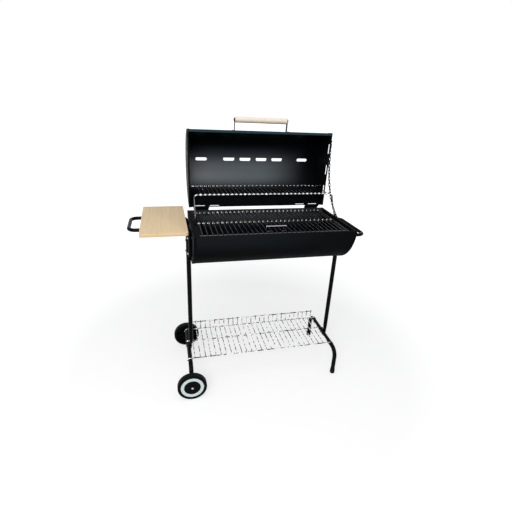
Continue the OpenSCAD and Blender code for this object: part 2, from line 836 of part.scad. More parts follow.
// Places on the straps' rivets, two to a strap, with Z along the rivet and the lid's axis at 0
module at_strap_rivets() {
    for (side = [-1, 1], up = [-1, 1]) {
        translate([side * strap_rivet_x, 0, lid_z]) rotate([90 - strap_tilt, 0, 0])
            translate([0, up * strap_rivet_pitch / 2, 0]) children();
    }
}

module grip_straps() {
    color([0.06, 0.06, 0.06]) open_lid() both_ends() grip_strap();
}

module grip_screws() {
    head_x = strap_x + strap_t + fit / 2;
    color([0.08, 0.08, 0.08]) open_lid() both_ends() union() {
        rod_x(head_x - grip_screw_len, head_x + grip_screw_head_h / 2, -grip_y, grip_z, screw_d);
        rod_x(head_x, head_x + grip_screw_head_h, -grip_y, grip_z, grip_screw_head);
    }
}

// Rivets that hold the straps' feet to the lid
module grip_rivets() {
    color([0.5, 0.5, 0.52]) open_lid() at_strap_rivets()
        rivet(lid_in_r - 2 * fit, strap_foot_r + fit / 2);
}

// ---------- Warming rack ----------

// Swing wire: two legs, a bar across, and ends that turn out into the brackets
module rack_bail() {
    leg_top = bail_leg - bail_corner;
    pin_x = lid_half - sheet - lid_flange - bail_end_gap;
    color([0.72, 0.72, 0.74]) translate([0, bowl_pivot_y, bowl_pivot_z]) rotate([-bail_lean, 0, 0]) {
        rod_x(-bail_x + bail_corner, bail_x - bail_corner, 0, bail_leg, bail_d);
        for (turn = [0, 180]) {
            rotate([0, 0, turn]) {
                rod_z(bail_x, 0, bail_hook, leg_top, bail_d);
                translate([bail_x - bail_corner, 0, leg_top]) rotate([90, 0, 0])
                    rotate_extrude(angle = 90) translate([bail_corner, 0]) circle(d = bail_d);
                translate([bail_x + bail_hook, 0, bail_hook]) rotate([90, 180, 0])
                    rotate_extrude(angle = 90) translate([bail_hook, 0]) circle(d = bail_d);
                rod_x(bail_x + bail_hook, pin_x, 0, 0, bail_d);
            }
        }
    }
}

module warming_rack() {
    wires = floor(rack_grid / rack_pitch / 2);
    front_y = bail_top_y + eye_d / 2 + bail_d;
    wire_z = bail_top_z + (bail_d + wire_d) / 2 - weld;
    eyes = floor(wires / 3);
    wire_over = bail_d / 2 + 1;
    color([0.75, 0.75, 0.77]) difference() {
        union() {
            rod_x(-rack_grid / 2 - 4, rack_grid / 2 + 4, front_y, bail_top_z, bail_d);
            rod_x(-rack_pin_x, rack_pin_x, rack_rear_y, bail_top_z, bail_d);
            for (i = [-wires:wires]) {
                rod_y(i * rack_pitch, bail_top_y - wire_over, rack_rear_y + bail_d, wire_z, wire_d);
                if (i % eyes == 0) {
                    rod_x(i * rack_pitch - eye_w / 2, i * rack_pitch + eye_w / 2,
                          bail_top_y, bail_top_z, eye_d);
                }
            }
        }
        rod_x(-rack_pin_x, rack_pin_x, bail_top_y, bail_top_z, bail_d + 2 * run);
    }
}

// ---------- Chain ----------

function bezier(t) = pow(1 - t, 3) * chain_start + 3 * pow(1 - t, 2) * t * chain_pull_top
    + 3 * (1 - t) * t * t * chain_pull_low + pow(t, 3) * chain_end;
function step_len(i) = norm(bezier((i + 1) / chain_steps) - bezier(i / chain_steps));
function length_to(i) = i <= 0 ? 0 : length_to(i - 1) + step_len(i - 1);
chain_marks = [for (i = [0:chain_steps]) length_to(i)];
chain_total = chain_marks[chain_steps];
// Step in which the distance s along the curve falls
function step_at(s, i = 0) = i >= chain_steps - 1 || chain_marks[i + 1] > s ? i : step_at(s, i + 1);
function curve_at(s) = let (i = step_at(s)) bezier((i + (s - chain_marks[i]) / step_len(i)) / chain_steps);

// An odd number of links, so that both end links lie flat on their bolts
chain_over = (chain_bolt_d + link_play) / 2;
link_count = 2 * round((chain_total / (link_len - 2 * chain_wire - link_play) - 1) / 2) + 1;
link_spread = round(100 * (chain_total + 2 * chain_over) / link_count) / 100;

module chain_link() {
    bow = (link_w - chain_wire) / 2;
    straight = link_spread + 2 * chain_wire + link_play - link_w;
    for (end = [0, 1]) {
        mirror([0, end, 0]) translate([0, straight / 2, 0]) rotate_extrude(angle = 180)
            translate([bow, 0]) circle(d = chain_wire, $fn = 16);
        mirror([end, 0, 0]) translate([bow, straight / 2, 0]) rotate([90, 0, 0])
            cylinder(d = chain_wire, h = straight, $fn = 16);
    }
}

module lid_chain() {
    color([0.05, 0.05, 0.05]) for (i = [0:link_count - 1]) {
        s = (i + 0.5) * link_spread - chain_over;
        here = curve_at(s);
        ahead = curve_at(s + 1) - curve_at(s - 1);
        lean = atan2(ahead[1], ahead[0]);
        x = chain_top_x + (chain_low_x - chain_top_x) * s / chain_total;
        translate([x, here[0], here[1]]) rotate([lean, 0, 0])
            rotate([0, i % 2 == 0 ? 90 : 0, 0]) chain_link();
    }
}

// Bolt, sleeve, nut and washer that hold one end of the chain off an end plate
module chain_bolt(plate_x, y, z) {
    chain_x = plate_x + chain_out;
    washer_x = chain_x + chain_wire / 2 + link_play;
    nut_x = plate_x - sheet - fit / 2;
    rod_x(nut_x - chain_nut_h, washer_x + chain_wire, y, z, chain_bolt_d);
    rod_x(plate_x + fit / 2, chain_x - chain_wire / 2 - link_play, y, z, chain_nut_d);
    rod_x(washer_x, washer_x + chain_wire, y, z, chain_washer_d);
    translate([nut_x - chain_nut_h, y, z]) rotate([0, 90, 0])
        cylinder(d = chain_nut_d, h = chain_nut_h, $fn = 6);
}

module chain_bolt_lid() {
    color([0.2, 0.2, 0.2]) open_lid() chain_bolt(lid_half, chain_lid_y, chain_lid_z);
}

module chain_bolt_bowl() {
    color([0.2, 0.2, 0.2]) chain_bolt(bowl_half, chain_bowl_y, chain_bowl_z);
}

// ---------- Trolley ----------

module post(x) {
    neck_z = bar_z + paddle_h / 2;
    tube_z = neck_z + paddle_neck;
    difference() {
        union() {
            translate([x, 0, tube_z]) pipe(post_top - tube_z, tube_d);
            hull() {
                rod_z(x, 0, tube_z - 1, tube_z, tube_d, $fn = 32);
                translate([x - paddle_t / 2, -paddle_w / 2, neck_z - 1]) cube([paddle_t, paddle_w, 1]);
            }
            translate([x - paddle_t / 2, -paddle_w / 2, bar_z]) cube([paddle_t, paddle_w, paddle_h / 2]);
            rod_x(x - paddle_t / 2, x + paddle_t / 2, 0, bar_z, paddle_w);
        }
        rod_x(x - tube_d, x + tube_d, 0, bar_z, bolt_hole + 2);
        for (z = post_bolts_z) {
            rod_x(x - tube_d, x + tube_d, 0, z, bolt_hole);
        }
    }
}

module left_post() {
    color([0.05, 0.05, 0.055]) post(-post_x);
}

module right_post() {
    color([0.05, 0.05, 0.055]) post(post_x);
}

module post_plugs() {
    color([0.05, 0.05, 0.05]) both_ends() union() {
        rod_z(post_x, 0, post_top - 8, post_top + 0.5, tube_d - 2 * tube_wall - fit);
        rod_z(post_x, 0, post_top + fit / 2, post_top + 3, tube_d);
    }
}

module post_bolts() {
    color([0.5, 0.5, 0.52]) for (z = post_bolts_z) {
        bolt_x(-post_x - tube_d / 2 - fit / 2, -bowl_half + sheet + fit / 2, 0, z, bolt_d);
        on_left() bolt_x(-post_x - tube_d / 2 - fit / 2, -bowl_half + sheet + fit / 2, 0, z, bolt_d);
    }
}

// Tube bent to an upside-down U that stands across the trolley
module foot_bar(x, low) {
    side = leg_y - foot_bend;
    difference() {
        union() {
            translate([x, side, bar_z]) rotate([90, 0, 0]) pipe(2 * side, tube_d);
            both_sides() union() {
                translate([x, side, bar_z - foot_bend]) rotate([90, 0, 90]) elbow(foot_bend, tube_d);
                translate([x, leg_y, low]) pipe(bar_z - foot_bend - low, tube_d);
            }
        }
        rod_x(x - tube_d, x + tube_d, 0, bar_z, bolt_hole + 2);
    }
}

module left_foot_bar() {
    low = axle_z - 20;
    color([0.05, 0.05, 0.055]) difference() {
        foot_bar(left_bar_x, low);
        rod_y(left_bar_x, -leg_y - tube_d, leg_y + tube_d, axle_z, axle_d + 2 * run);
    }
}

cap_floor = 6;

module right_foot_bar() {
    color([0.05, 0.05, 0.055]) foot_bar(right_bar_x, cap_floor + fit);
}

module foot_bolts() {
    color([0.5, 0.5, 0.52]) for (x = [left_bar_x, right_bar_x]) {
        bolt_x(x - tube_d / 2 - fit / 2, x + bar_shift + paddle_t / 2 + fit / 2, 0, bar_z, bolt_d + 2);
    }
}

module foot_caps() {
    color([0.04, 0.04, 0.04]) both_sides() difference() {
        translate([right_bar_x, leg_y, 0]) rotate_extrude() union() {
            translate([0, 2]) square([cap_d / 2, cap_h - 4]);
            square([cap_d / 2 - 2, cap_h]);
            for (z = [2, cap_h - 2]) {
                translate([cap_d / 2 - 2, z]) circle(r = 2);
            }
        }
        rod_z(right_bar_x, leg_y, cap_floor, cap_h + eps, tube_d + fit);
    }
}

// ---------- Wheels ----------

module axle() {
    color([0.6, 0.6, 0.62]) rod_y(left_bar_x, -axle_end_y, axle_end_y, axle_z, axle_d);
}

module axle_spacers() {
    y0 = leg_y + tube_d / 2 + fit;
    y1 = wheel_y - wheel_w / 2 + hub_in - fit;
    color([0.1, 0.1, 0.1]) both_sides() difference() {
        rod_y(left_bar_x, y0, y1, axle_z, axle_d + 8);
        rod_y(left_bar_x, y0 - eps, y1 + eps, axle_z, axle_d + 2 * run);
    }
}

// Push-on caps at the axle's ends
module axle_caps() {
    y0 = wheel_y + wheel_w / 2 - hub_in + fit;
    color([0.7, 0.7, 0.72]) both_sides() difference() {
        union() {
            rod_y(left_bar_x, y0, axle_end_y + axle_cap_t / 2, axle_z, axle_d + 5);
            rod_y(left_bar_x, axle_end_y, axle_end_y + axle_cap_t, axle_z, axle_d + 2);
        }
        rod_y(left_bar_x, y0 - eps, axle_end_y + fit / 2, axle_z, axle_d + 2 * run);
    }
}

// Wheel about Z, outer face up
module wheel() {
    tread = 12;
    shoulder = 5;
    face = wheel_w / 2 - 3;
    tyre_r = wheel_d / 2;
    difference() {
        union() {
            rotate_extrude($fn = 120) union() {
                translate([tyre_r - tread, -wheel_w / 2 + shoulder]) square([tread, wheel_w - 2 * shoulder]);
                translate([tyre_r - tread, -wheel_w / 2]) square([tread - shoulder, wheel_w]);
                for (z = [-1, 1]) {
                    translate([tyre_r - shoulder, z * (wheel_w / 2 - shoulder)]) circle(r = shoulder);
                }
                translate([hub_d / 2 - 4, face - 4]) square([tyre_r - tread - hub_d / 2 + 6, 4]);
                translate([axle_d / 2 + run, hub_in - wheel_w / 2])
                    square([(hub_d - axle_d) / 2 - run, wheel_w - 2 * hub_in]);
            }
            for (i = [0:rib_count - 1]) {
                rotate([0, 0, i * 360 / rib_count])
                    translate([hub_d / 2 - 1, -1.5, -wheel_w / 2 + 5])
                        cube([tyre_r - tread - hub_d / 2 + 3, 3, wheel_w / 2 - 5 + face - 2]);
            }
        }
        // seat of the trim ring
        rotate_extrude($fn = 120) translate([ring_id / 2 - fit, face - fit])
            square([(ring_od - ring_id) / 2 - 2 * fit, 10]);
    }
}

module wheel_ring() {
    face = wheel_w / 2 - 3;
    rotate_extrude($fn = 120) union() {
        translate([ring_id / 2, face - fit / 2]) square([(ring_od - ring_id) / 2 - 4 * fit, ring_t - 0.6]);
        translate([ring_id / 2 + 1.5, face - fit / 2])
            square([(ring_od - ring_id) / 2 - 4 * fit - 3, ring_t]);
    }
}

module at_front_wheel() {
    translate([left_bar_x, -wheel_y, axle_z]) rotate([90, 0, 0]) children();
}

module at_rear_wheel() {
    translate([left_bar_x, wheel_y, axle_z]) rotate([-90, 0, 0]) children();
}

module front_wheel() {
    color([0.06, 0.07, 0.065]) at_front_wheel() wheel();
}

module front_wheel_ring() {
    color([0.9, 0.9, 0.9]) at_front_wheel() wheel_ring();
}

module rear_wheel() {
    color([0.06, 0.07, 0.065]) at_rear_wheel() wheel();
}

module rear_wheel_ring() {
    color([0.9, 0.9, 0.9]) at_rear_wheel() wheel_ring();
}

// ---------- Bottom shelf ----------

// Rod along X whose ends hook over the foot bars
module shelf_rod(y) {
    rod_x(left_bar_x, right_bar_x, y, shelf_rod_z, shelf_rod_d);
    for (end = [0, 1]) {
        translate([end == 0 ? left_bar_x : right_bar_x, y, bar_z]) mirror([end, 0, 0])
            rotate([90, 0, 0]) rotate([0, 0, 90]) rotate_extrude(angle = hook_angle)
                translate([hook_r, 0]) circle(d = shelf_rod_d);
    }
}

module shelf_wire(x) {
    bend_y = fence_y - shelf_bend;
    rod_y(x, -shelf_front - 3, bend_y, shelf_wire_z, wire_d);
    translate([x, bend_y, shelf_wire_z + shelf_bend]) rotate([90, 0, 90]) rotate([0, 0, -90])
        rotate_extrude(angle = 90) translate([shelf_bend, 0]) circle(d = wire_d);
    rod_z(x, fence_y, shelf_wire_z + shelf_bend, shelf_wire_z + fence_h, wire_d);
}

module bottom_shelf() {
    first_x = left_bar_x + tube_d / 2 + 12;
    last_x = right_bar_x - tube_d / 2 - 12;
    gaps = floor((last_x - first_x) / shelf_pitch);
    pitch = (last_x - first_x) / gaps;
    color([0.8, 0.8, 0.82]) union() {
        for (y = shelf_rods_y) {
            shelf_rod(y);
        }
        for (i = [0:gaps]) {
            shelf_wire(first_x + i * pitch);
        }
        rod_x(first_x - 4, last_x + 4, fence_y - (shelf_rod_d + wire_d) / 2 + weld,
              shelf_wire_z + fence_h - 3, shelf_rod_d);
    }
}

// ---------- Side arm, board and handle ----------

// Tube bent to a U whose ends turn down against an end plate
module bent_arm(reach, half_w, top_z, foot_z) {
    side = half_w - arm_bend;
    translate([reach, side, top_z]) rotate([90, 0, 0]) pipe(2 * side, arm_d);
    both_sides() union() {
        translate([reach - arm_bend, side, top_z]) elbow(arm_bend, arm_d);
        translate([arm_x + arm_bend, half_w, top_z]) rotate([0, 90, 0])
            pipe(reach - arm_x - 2 * arm_bend, arm_d);
        translate([arm_x + arm_bend, half_w, top_z - arm_bend]) rotate([90, 0, 0]) rotate([0, 0, 90])
            elbow(arm_bend, arm_d);
        translate([arm_x, half_w, foot_z]) pipe(top_z - arm_bend - foot_z, arm_d);
    }
}

module side_arm() {
    color([0.05, 0.05, 0.055]) difference() {
        on_left() bent_arm(arm_reach, arm_y, arm_z, arm_foot_z);
        for (z = arm_bolts_z) {
            both_sides() rod_x(-arm_x - arm_d, -arm_x + arm_d, arm_y, z, bolt_hole);
        }
        for (x = board_screws_x) {
            both_sides() rod_z(x, arm_y, arm_z - arm_d, arm_z + arm_d, screw_d + 2 * fit);
        }
    }
}

module side_arm_bolts() {
    color([0.5, 0.5, 0.52]) for (z = arm_bolts_z) {
        both_sides() bolt_x(-arm_x - arm_d / 2 - fit / 2, -bowl_half + sheet + fit / 2, arm_y, z, bolt_d);
    }
}

module side_board() {
    x0 = board_right - board_x;
    c = board_corner;
    color([0.84, 0.74, 0.58]) difference() {
        union() {
            translate([x0 + c, -board_y / 2, board_z]) cube([board_x - 2 * c, board_y, board_t]);
            translate([x0, -board_y / 2 + c, board_z]) cube([board_x, board_y - 2 * c, board_t]);
            for (x = [x0 + c, board_right - c], y = [-board_y / 2 + c, board_y / 2 - c]) {
                rod_z(x, y, board_z, board_z + board_t, 2 * c);
            }
        }
        for (x = board_screws_x) {
            both_sides() rod_z(x, arm_y, board_z - eps, board_z + board_t - 4, screw_d + fit);
        }
    }
}

module board_screws() {
    head_z = arm_z - arm_d / 2 - fit / 2;
    color([0.6, 0.6, 0.62]) for (x = board_screws_x) {
        both_sides() union() {
            rod_z(x, arm_y, head_z - 0.5, board_z + board_t - 5, screw_d);
            rod_z(x, arm_y, head_z - 2.5, head_z, 8);
        }
    }
}

module push_handle() {
    color([0.05, 0.05, 0.055]) difference() {
        bent_arm(handle_reach, handle_y, handle_z, handle_foot_z);
        for (z = handle_bolts_z) {
            both_sides() rod_x(arm_x - arm_d, arm_x + arm_d, handle_y, z, bolt_hole);
        }
    }
}

module push_handle_bolts() {
    color([0.5, 0.5, 0.52]) for (z = handle_bolts_z) {
        both_sides() on_left()
            bolt_x(-arm_x - arm_d / 2 - fit / 2, -bowl_half + sheet + fit / 2, handle_y, z, bolt_d);
    }
}

place() bowl_shell();
place() bowl_end_left();
place() bowl_end_right();
place() grate_ledge_left();
place() grate_ledge_right();
place() charcoal_grate();
place() cooking_grate();
place() rack_brackets();
place() hinge_leaves_bowl();
place() hinge_leaves_lid();
place() hinge_pins();
place() hinge_bolts();
place() leaf_rivets();
place() lid_shell();
place() lid_end_left();
place() lid_end_right();
place() lid_grip();
place() grip_straps();
place() grip_screws();
place() grip_rivets();
place() rack_bail();
place() warming_rack();
place() lid_chain();
place() chain_bolt_lid();
place() chain_bolt_bowl();
place() left_post();
place() right_post();
place() post_plugs();
place() post_bolts();
place() left_foot_bar();
place() right_foot_bar();
place() foot_bolts();
place() foot_caps();
place() axle();
place() axle_spacers();
place() axle_caps();
place() front_wheel();
place() front_wheel_ring();
place() rear_wheel();
place() rear_wheel_ring();
place() bottom_shelf();
place() side_arm();
place() side_arm_bolts();
place() side_board();
place() board_screws();
place() push_handle();
place() push_handle_bolts();
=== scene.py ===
import math

import bpy
from mathutils import Matrix, Vector


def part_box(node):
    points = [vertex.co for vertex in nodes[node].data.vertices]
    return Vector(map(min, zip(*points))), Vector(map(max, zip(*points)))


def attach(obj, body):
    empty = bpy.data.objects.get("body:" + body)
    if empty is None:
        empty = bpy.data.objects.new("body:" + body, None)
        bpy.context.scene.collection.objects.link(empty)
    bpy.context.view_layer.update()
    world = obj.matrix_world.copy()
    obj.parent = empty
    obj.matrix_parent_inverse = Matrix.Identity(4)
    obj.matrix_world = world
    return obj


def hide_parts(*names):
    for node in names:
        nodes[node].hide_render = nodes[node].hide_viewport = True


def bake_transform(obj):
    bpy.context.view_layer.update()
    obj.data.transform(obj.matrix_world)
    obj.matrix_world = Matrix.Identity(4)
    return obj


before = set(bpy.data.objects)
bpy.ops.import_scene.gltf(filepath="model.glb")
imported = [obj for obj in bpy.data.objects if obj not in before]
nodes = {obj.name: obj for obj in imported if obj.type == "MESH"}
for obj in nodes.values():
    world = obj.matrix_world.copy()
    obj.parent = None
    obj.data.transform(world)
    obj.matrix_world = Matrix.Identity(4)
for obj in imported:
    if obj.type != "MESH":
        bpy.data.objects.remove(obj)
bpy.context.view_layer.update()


# ---------- Camera, floor and light ----------

EYE = (-0.3791, -1.65902, 1.3445)
EYE_RIGHT = 14.734
EYE_DOWN = 23.003
EYE_ROLL = 2.860
EYE_LENS = 25.29

FLOOR_GLOW = 0.62
FLOOR_NEAR = 0.9
FLOOR_FAR = 2.2


def place_camera():
    lens = bpy.data.cameras.new("eye")
    lens.sensor_width = 36.0
    lens.lens = EYE_LENS
    lens.clip_start = 0.05
    lens.clip_end = 100.0
    eye = bpy.data.objects.new("eye", lens)
    bpy.context.scene.collection.objects.link(eye)
    turn = Matrix.Rotation(math.radians(-EYE_RIGHT), 4, "Z")
    turn = turn @ Matrix.Rotation(math.radians(90.0 - EYE_DOWN), 4, "X")
    turn = turn @ Matrix.Rotation(math.radians(EYE_ROLL), 4, "Z")
    eye.matrix_world = Matrix.Translation(EYE) @ turn
    bpy.context.scene.camera = eye


def seen_rays(tree):
    """1 for rays from the camera, a mirror or glass, 0 for rays that carry light."""
    rays = tree.nodes.new("ShaderNodeLightPath")
    glossy = tree.nodes.new("ShaderNodeMath")
    glossy.operation = "MAXIMUM"
    tree.links.new(rays.outputs["Is Camera Ray"], glossy.inputs[0])
    tree.links.new(rays.outputs["Is Glossy Ray"], glossy.inputs[1])
    seen = tree.nodes.new("ShaderNodeMath")
    seen.operation = "MAXIMUM"
    tree.links.new(glossy.outputs[0], seen.inputs[0])
    tree.links.new(rays.outputs["Is Transmission Ray"], seen.inputs[1])
    return seen.outputs[0]


def light_sky():
    world = bpy.data.worlds.new("studio")
    bpy.context.scene.world = world
    world.use_nodes = True
    tree = world.node_tree
    tree.nodes.clear()
    soft = tree.nodes.new("ShaderNodeBackground")
    soft.inputs["Color"].default_value = (0.93, 0.96, 1.0, 1.0)
    soft.inputs["Strength"].default_value = 0.36
    white = tree.nodes.new("ShaderNodeBackground")
    white.inputs["Color"].default_value = (1.0, 1.0, 1.0, 1.0)
    white.inputs["Strength"].default_value = 1.0
    mix = tree.nodes.new("ShaderNodeMixShader")
    out = tree.nodes.new("ShaderNodeOutputWorld")
    tree.links.new(seen_rays(tree), mix.inputs[0])
    tree.links.new(soft.outputs[0], mix.inputs[1])
    tree.links.new(white.outputs[0], mix.inputs[2])
    tree.links.new(mix.outputs[0], out.inputs["Surface"])


def lay_floor():
    bpy.ops.object.select_all(action="DESELECT")
    bpy.ops.mesh.primitive_plane_add(size=60.0, location=(0, 0, 0))
    floor = bpy.context.active_object
    floor.name = "floor"
    paint = bpy.data.materials.new("floor_white")
    paint.use_nodes = True
    tree = paint.node_tree
    tree.nodes.clear()
    matt = tree.nodes.new("ShaderNodeBsdfDiffuse")
    matt.inputs["Color"].default_value = (0.5, 0.5, 0.5, 1.0)
    glow = tree.nodes.new("ShaderNodeEmission")
    glow.inputs["Color"].default_value = (1.0, 1.0, 1.0, 1.0)
    place = tree.nodes.new("ShaderNodeTexCoord")
    away = tree.nodes.new("ShaderNodeVectorMath")
    away.operation = "LENGTH"
    tree.links.new(place.outputs["Object"], away.inputs[0])
    fade = tree.nodes.new("ShaderNodeMapRange")
    fade.inputs["From Min"].default_value = FLOOR_NEAR
    fade.inputs["From Max"].default_value = FLOOR_FAR
    fade.inputs["To Min"].default_value = FLOOR_GLOW
    fade.inputs["To Max"].default_value = 1.0
    tree.links.new(away.outputs["Value"], fade.inputs["Value"])
    lift = tree.nodes.new("ShaderNodeMath")
    lift.operation = "MULTIPLY"
    tree.links.new(fade.outputs["Result"], lift.inputs[1])
    tree.links.new(seen_rays(tree), lift.inputs[0])
    tree.links.new(lift.outputs[0], glow.inputs["Strength"])
    add = tree.nodes.new("ShaderNodeAddShader")
    out = tree.nodes.new("ShaderNodeOutputMaterial")
    tree.links.new(matt.outputs[0], add.inputs[0])
    tree.links.new(glow.outputs[0], add.inputs[1])
    tree.links.new(add.outputs[0], out.inputs["Surface"])
    floor.data.materials.append(paint)


def hang_lamp(name, place, aim, size, power, colour):
    data = bpy.data.lights.new(name, "AREA")
    data.shape = "RECTANGLE"
    data.size = size[0]
    data.size_y = size[1]
    data.energy = power
    data.color = colour
    lamp = bpy.data.objects.new(name, data)
    bpy.context.scene.collection.objects.link(lamp)
    lamp.location = place
    lamp.rotation_euler = (Vector(aim) - Vector(place)).to_track_quat("-Z", "Y").to_euler()


place_camera()
light_sky()
lay_floor()
hang_lamp("overhead", (-0.3, -0.9, 3.2), (0, 0.1, 0.8), (2.4, 1.6), 20.0, (1.0, 0.98, 0.95))
hang_lamp("front_softbox", (-1.3, -3.0, 2.5), (0, 0.1, 0.9), (1.5, 1.1), 60.0, (1.0, 0.985, 0.96))
hang_lamp("side_fill", (-2.6, -1.2, 1.9), (0, 0, 0.7), (1.4, 1.8), 6.0, (0.95, 0.98, 1.0))
bpy.context.scene.view_settings.view_transform = "Standard"


# ---------- Shared effects ----------


def new_group(name, inputs, outputs):
    group = bpy.data.node_groups.new(name, "ShaderNodeTree")
    for label, kind, value in inputs:
        socket = group.interface.new_socket(name=label, in_out="INPUT", socket_type=kind)
        socket.default_value = value
    for label, kind in outputs:
        group.interface.new_socket(name=label, in_out="OUTPUT", socket_type=kind)
    return group, group.nodes.new("NodeGroupInput"), group.nodes.new("NodeGroupOutput")


def add_noise(tree, place, scale, detail=3.0, rough=0.5):
    noise = tree.nodes.new("ShaderNodeTexNoise")
    noise.inputs["Scale"].default_value = scale
    noise.inputs["Detail"].default_value = detail
    noise.inputs["Roughness"].default_value = rough
    tree.links.new(place, noise.inputs["Vector"])
    return noise


def add_range(tree, value, low, high, to_low, to_high):
    spread = tree.nodes.new("ShaderNodeMapRange")
    spread.inputs["From Min"].default_value = low
    spread.inputs["From Max"].default_value = high
    spread.inputs["To Min"].default_value = to_low
    spread.inputs["To Max"].default_value = to_high
    tree.links.new(value, spread.inputs["Value"])
    return spread.outputs["Result"]


def add_mix(tree, factor, first, second, kind="MIX"):
    mix = tree.nodes.new("ShaderNodeMix")
    mix.data_type = "RGBA"
    mix.blend_type = kind
    if isinstance(factor, float):
        mix.inputs["Factor"].default_value = factor
    else:
        tree.links.new(factor, mix.inputs["Factor"])
    for slot, colour in ((6, first), (7, second)):
        if isinstance(colour, tuple):
            mix.inputs[slot].default_value = colour
        else:
            tree.links.new(colour, mix.inputs[slot])
    return mix.outputs[2]


def make_coating_group():
    """Sprayed coating: two close shades, a fine orange-peel skin and a little settled dust."""
    colour = ("NodeSocketColor", (0.02, 0.02, 0.02, 1.0))
    group, given, result = new_group(
        "sprayed_coating",
        [
            ("Deep", *colour),
            ("Worn", *colour),
            ("Dust", "NodeSocketColor", (0.2, 0.2, 0.19, 1.0)),
            ("Dust Amount", "NodeSocketFloat", 0.1),
            ("Smooth", "NodeSocketFloat", 0.35),
            ("Rough", "NodeSocketFloat", 0.5),
            ("Peel", "NodeSocketFloat", 0.1),
        ],
        [("Color", "NodeSocketColor"), ("Roughness", "NodeSocketFloat"), ("Normal", "NodeSocketVector")],
    )
    place = group.nodes.new("ShaderNodeTexCoord").outputs["Object"]
    cloud = add_noise(group, place, 6.0, 4.0, 0.55)
    cloud_mask = add_range(group, cloud.outputs["Fac"], 0.35, 0.68, 0.0, 1.0)
    shade = add_mix(group, cloud_mask, given.outputs["Deep"], given.outputs["Worn"])
    facing = group.nodes.new("ShaderNodeSeparateXYZ")
    skin = group.nodes.new("ShaderNodeNewGeometry")
    group.links.new(skin.outputs["Normal"], facing.inputs[0])
    upward = add_range(group, facing.outputs["Z"], 0.3, 1.0, 0.0, 1.0)
    grit = add_noise(group, place, 140.0, 2.0, 0.6)
    grit_mask = add_range(group, grit.outputs["Fac"], 0.45, 0.75, 0.0, 1.0)
    fall = group.nodes.new("ShaderNodeMath")
    fall.operation = "MULTIPLY"
    group.links.new(upward, fall.inputs[0])
    group.links.new(grit_mask, fall.inputs[1])
    amount = group.nodes.new("ShaderNodeMath")
    amount.operation = "MULTIPLY"
    group.links.new(fall.outputs[0], amount.inputs[0])
    group.links.new(given.outputs["Dust Amount"], amount.inputs[1])
    group.links.new(add_mix(group, amount.outputs[0], shade, given.outputs["Dust"]), result.inputs["Color"])
    blotch = add_noise(group, place, 22.0, 3.0, 0.6)
    spread = group.nodes.new("ShaderNodeMapRange")
    group.links.new(blotch.outputs["Fac"], spread.inputs["Value"])
    spread.inputs["From Min"].default_value = 0.3
    spread.inputs["From Max"].default_value = 0.7
    group.links.new(given.outputs["Smooth"], spread.inputs["To Min"])
    group.links.new(given.outputs["Rough"], spread.inputs["To Max"])
    group.links.new(spread.outputs["Result"], result.inputs["Roughness"])
    peel = add_noise(group, place, 420.0, 2.0, 0.5)
    bump = group.nodes.new("ShaderNodeBump")
    bump.inputs["Distance"].default_value = 0.0004
    group.links.new(given.outputs["Peel"], bump.inputs["Strength"])
    group.links.new(peel.outputs["Fac"], bump.inputs["Height"])
    group.links.new(bump.outputs["Normal"], result.inputs["Normal"])
    return group


def make_wire_group():
    """Plated wire: bright with dull patches from heat and handling; on the bottom shelf the dark patches are
    painted dark reflections.
    """
    group, given, result = new_group(
        "plated_wire",
        [
            ("Bright", "NodeSocketColor", (0.8, 0.8, 0.82, 1.0)),
            ("Dulled And Dark Reflection", "NodeSocketColor", (0.4, 0.38, 0.36, 1.0)),
            ("Patch From", "NodeSocketFloat", 0.5),
            ("Patch To", "NodeSocketFloat", 0.7),
            ("Smooth", "NodeSocketFloat", 0.12),
            ("Rough", "NodeSocketFloat", 0.35),
            ("Patch Scale", "NodeSocketFloat", 16.0),
        ],
        [("Color", "NodeSocketColor"), ("Roughness", "NodeSocketFloat"), ("Normal", "NodeSocketVector")],
    )
    place = group.nodes.new("ShaderNodeTexCoord").outputs["Object"]
    patch = add_noise(group, place, 16.0, 4.0, 0.6)
    group.links.new(given.outputs["Patch Scale"], patch.inputs["Scale"])
    mask = group.nodes.new("ShaderNodeMapRange")
    group.links.new(patch.outputs["Fac"], mask.inputs["Value"])
    group.links.new(given.outputs["Patch From"], mask.inputs["From Min"])
    group.links.new(given.outputs["Patch To"], mask.inputs["From Max"])
    group.links.new(add_mix(group, mask.outputs["Result"], given.outputs["Bright"], given.outputs["Dulled And Dark Reflection"]),
                    result.inputs["Color"])
    rough = group.nodes.new("ShaderNodeMapRange")
    group.links.new(mask.outputs["Result"], rough.inputs["Value"])
    group.links.new(given.outputs["Smooth"], rough.inputs["To Min"])
    group.links.new(given.outputs["Rough"], rough.inputs["To Max"])
    group.links.new(rough.outputs["Result"], result.inputs["Roughness"])
    fine = add_noise(group, place, 900.0, 2.0, 0.5)
    bump = group.nodes.new("ShaderNodeBump")
    bump.inputs["Strength"].default_value = 0.05
    bump.inputs["Distance"].default_value = 0.0003
    group.links.new(fine.outputs["Fac"], bump.inputs["Height"])
    group.links.new(bump.outputs["Normal"], result.inputs["Normal"])
    return group


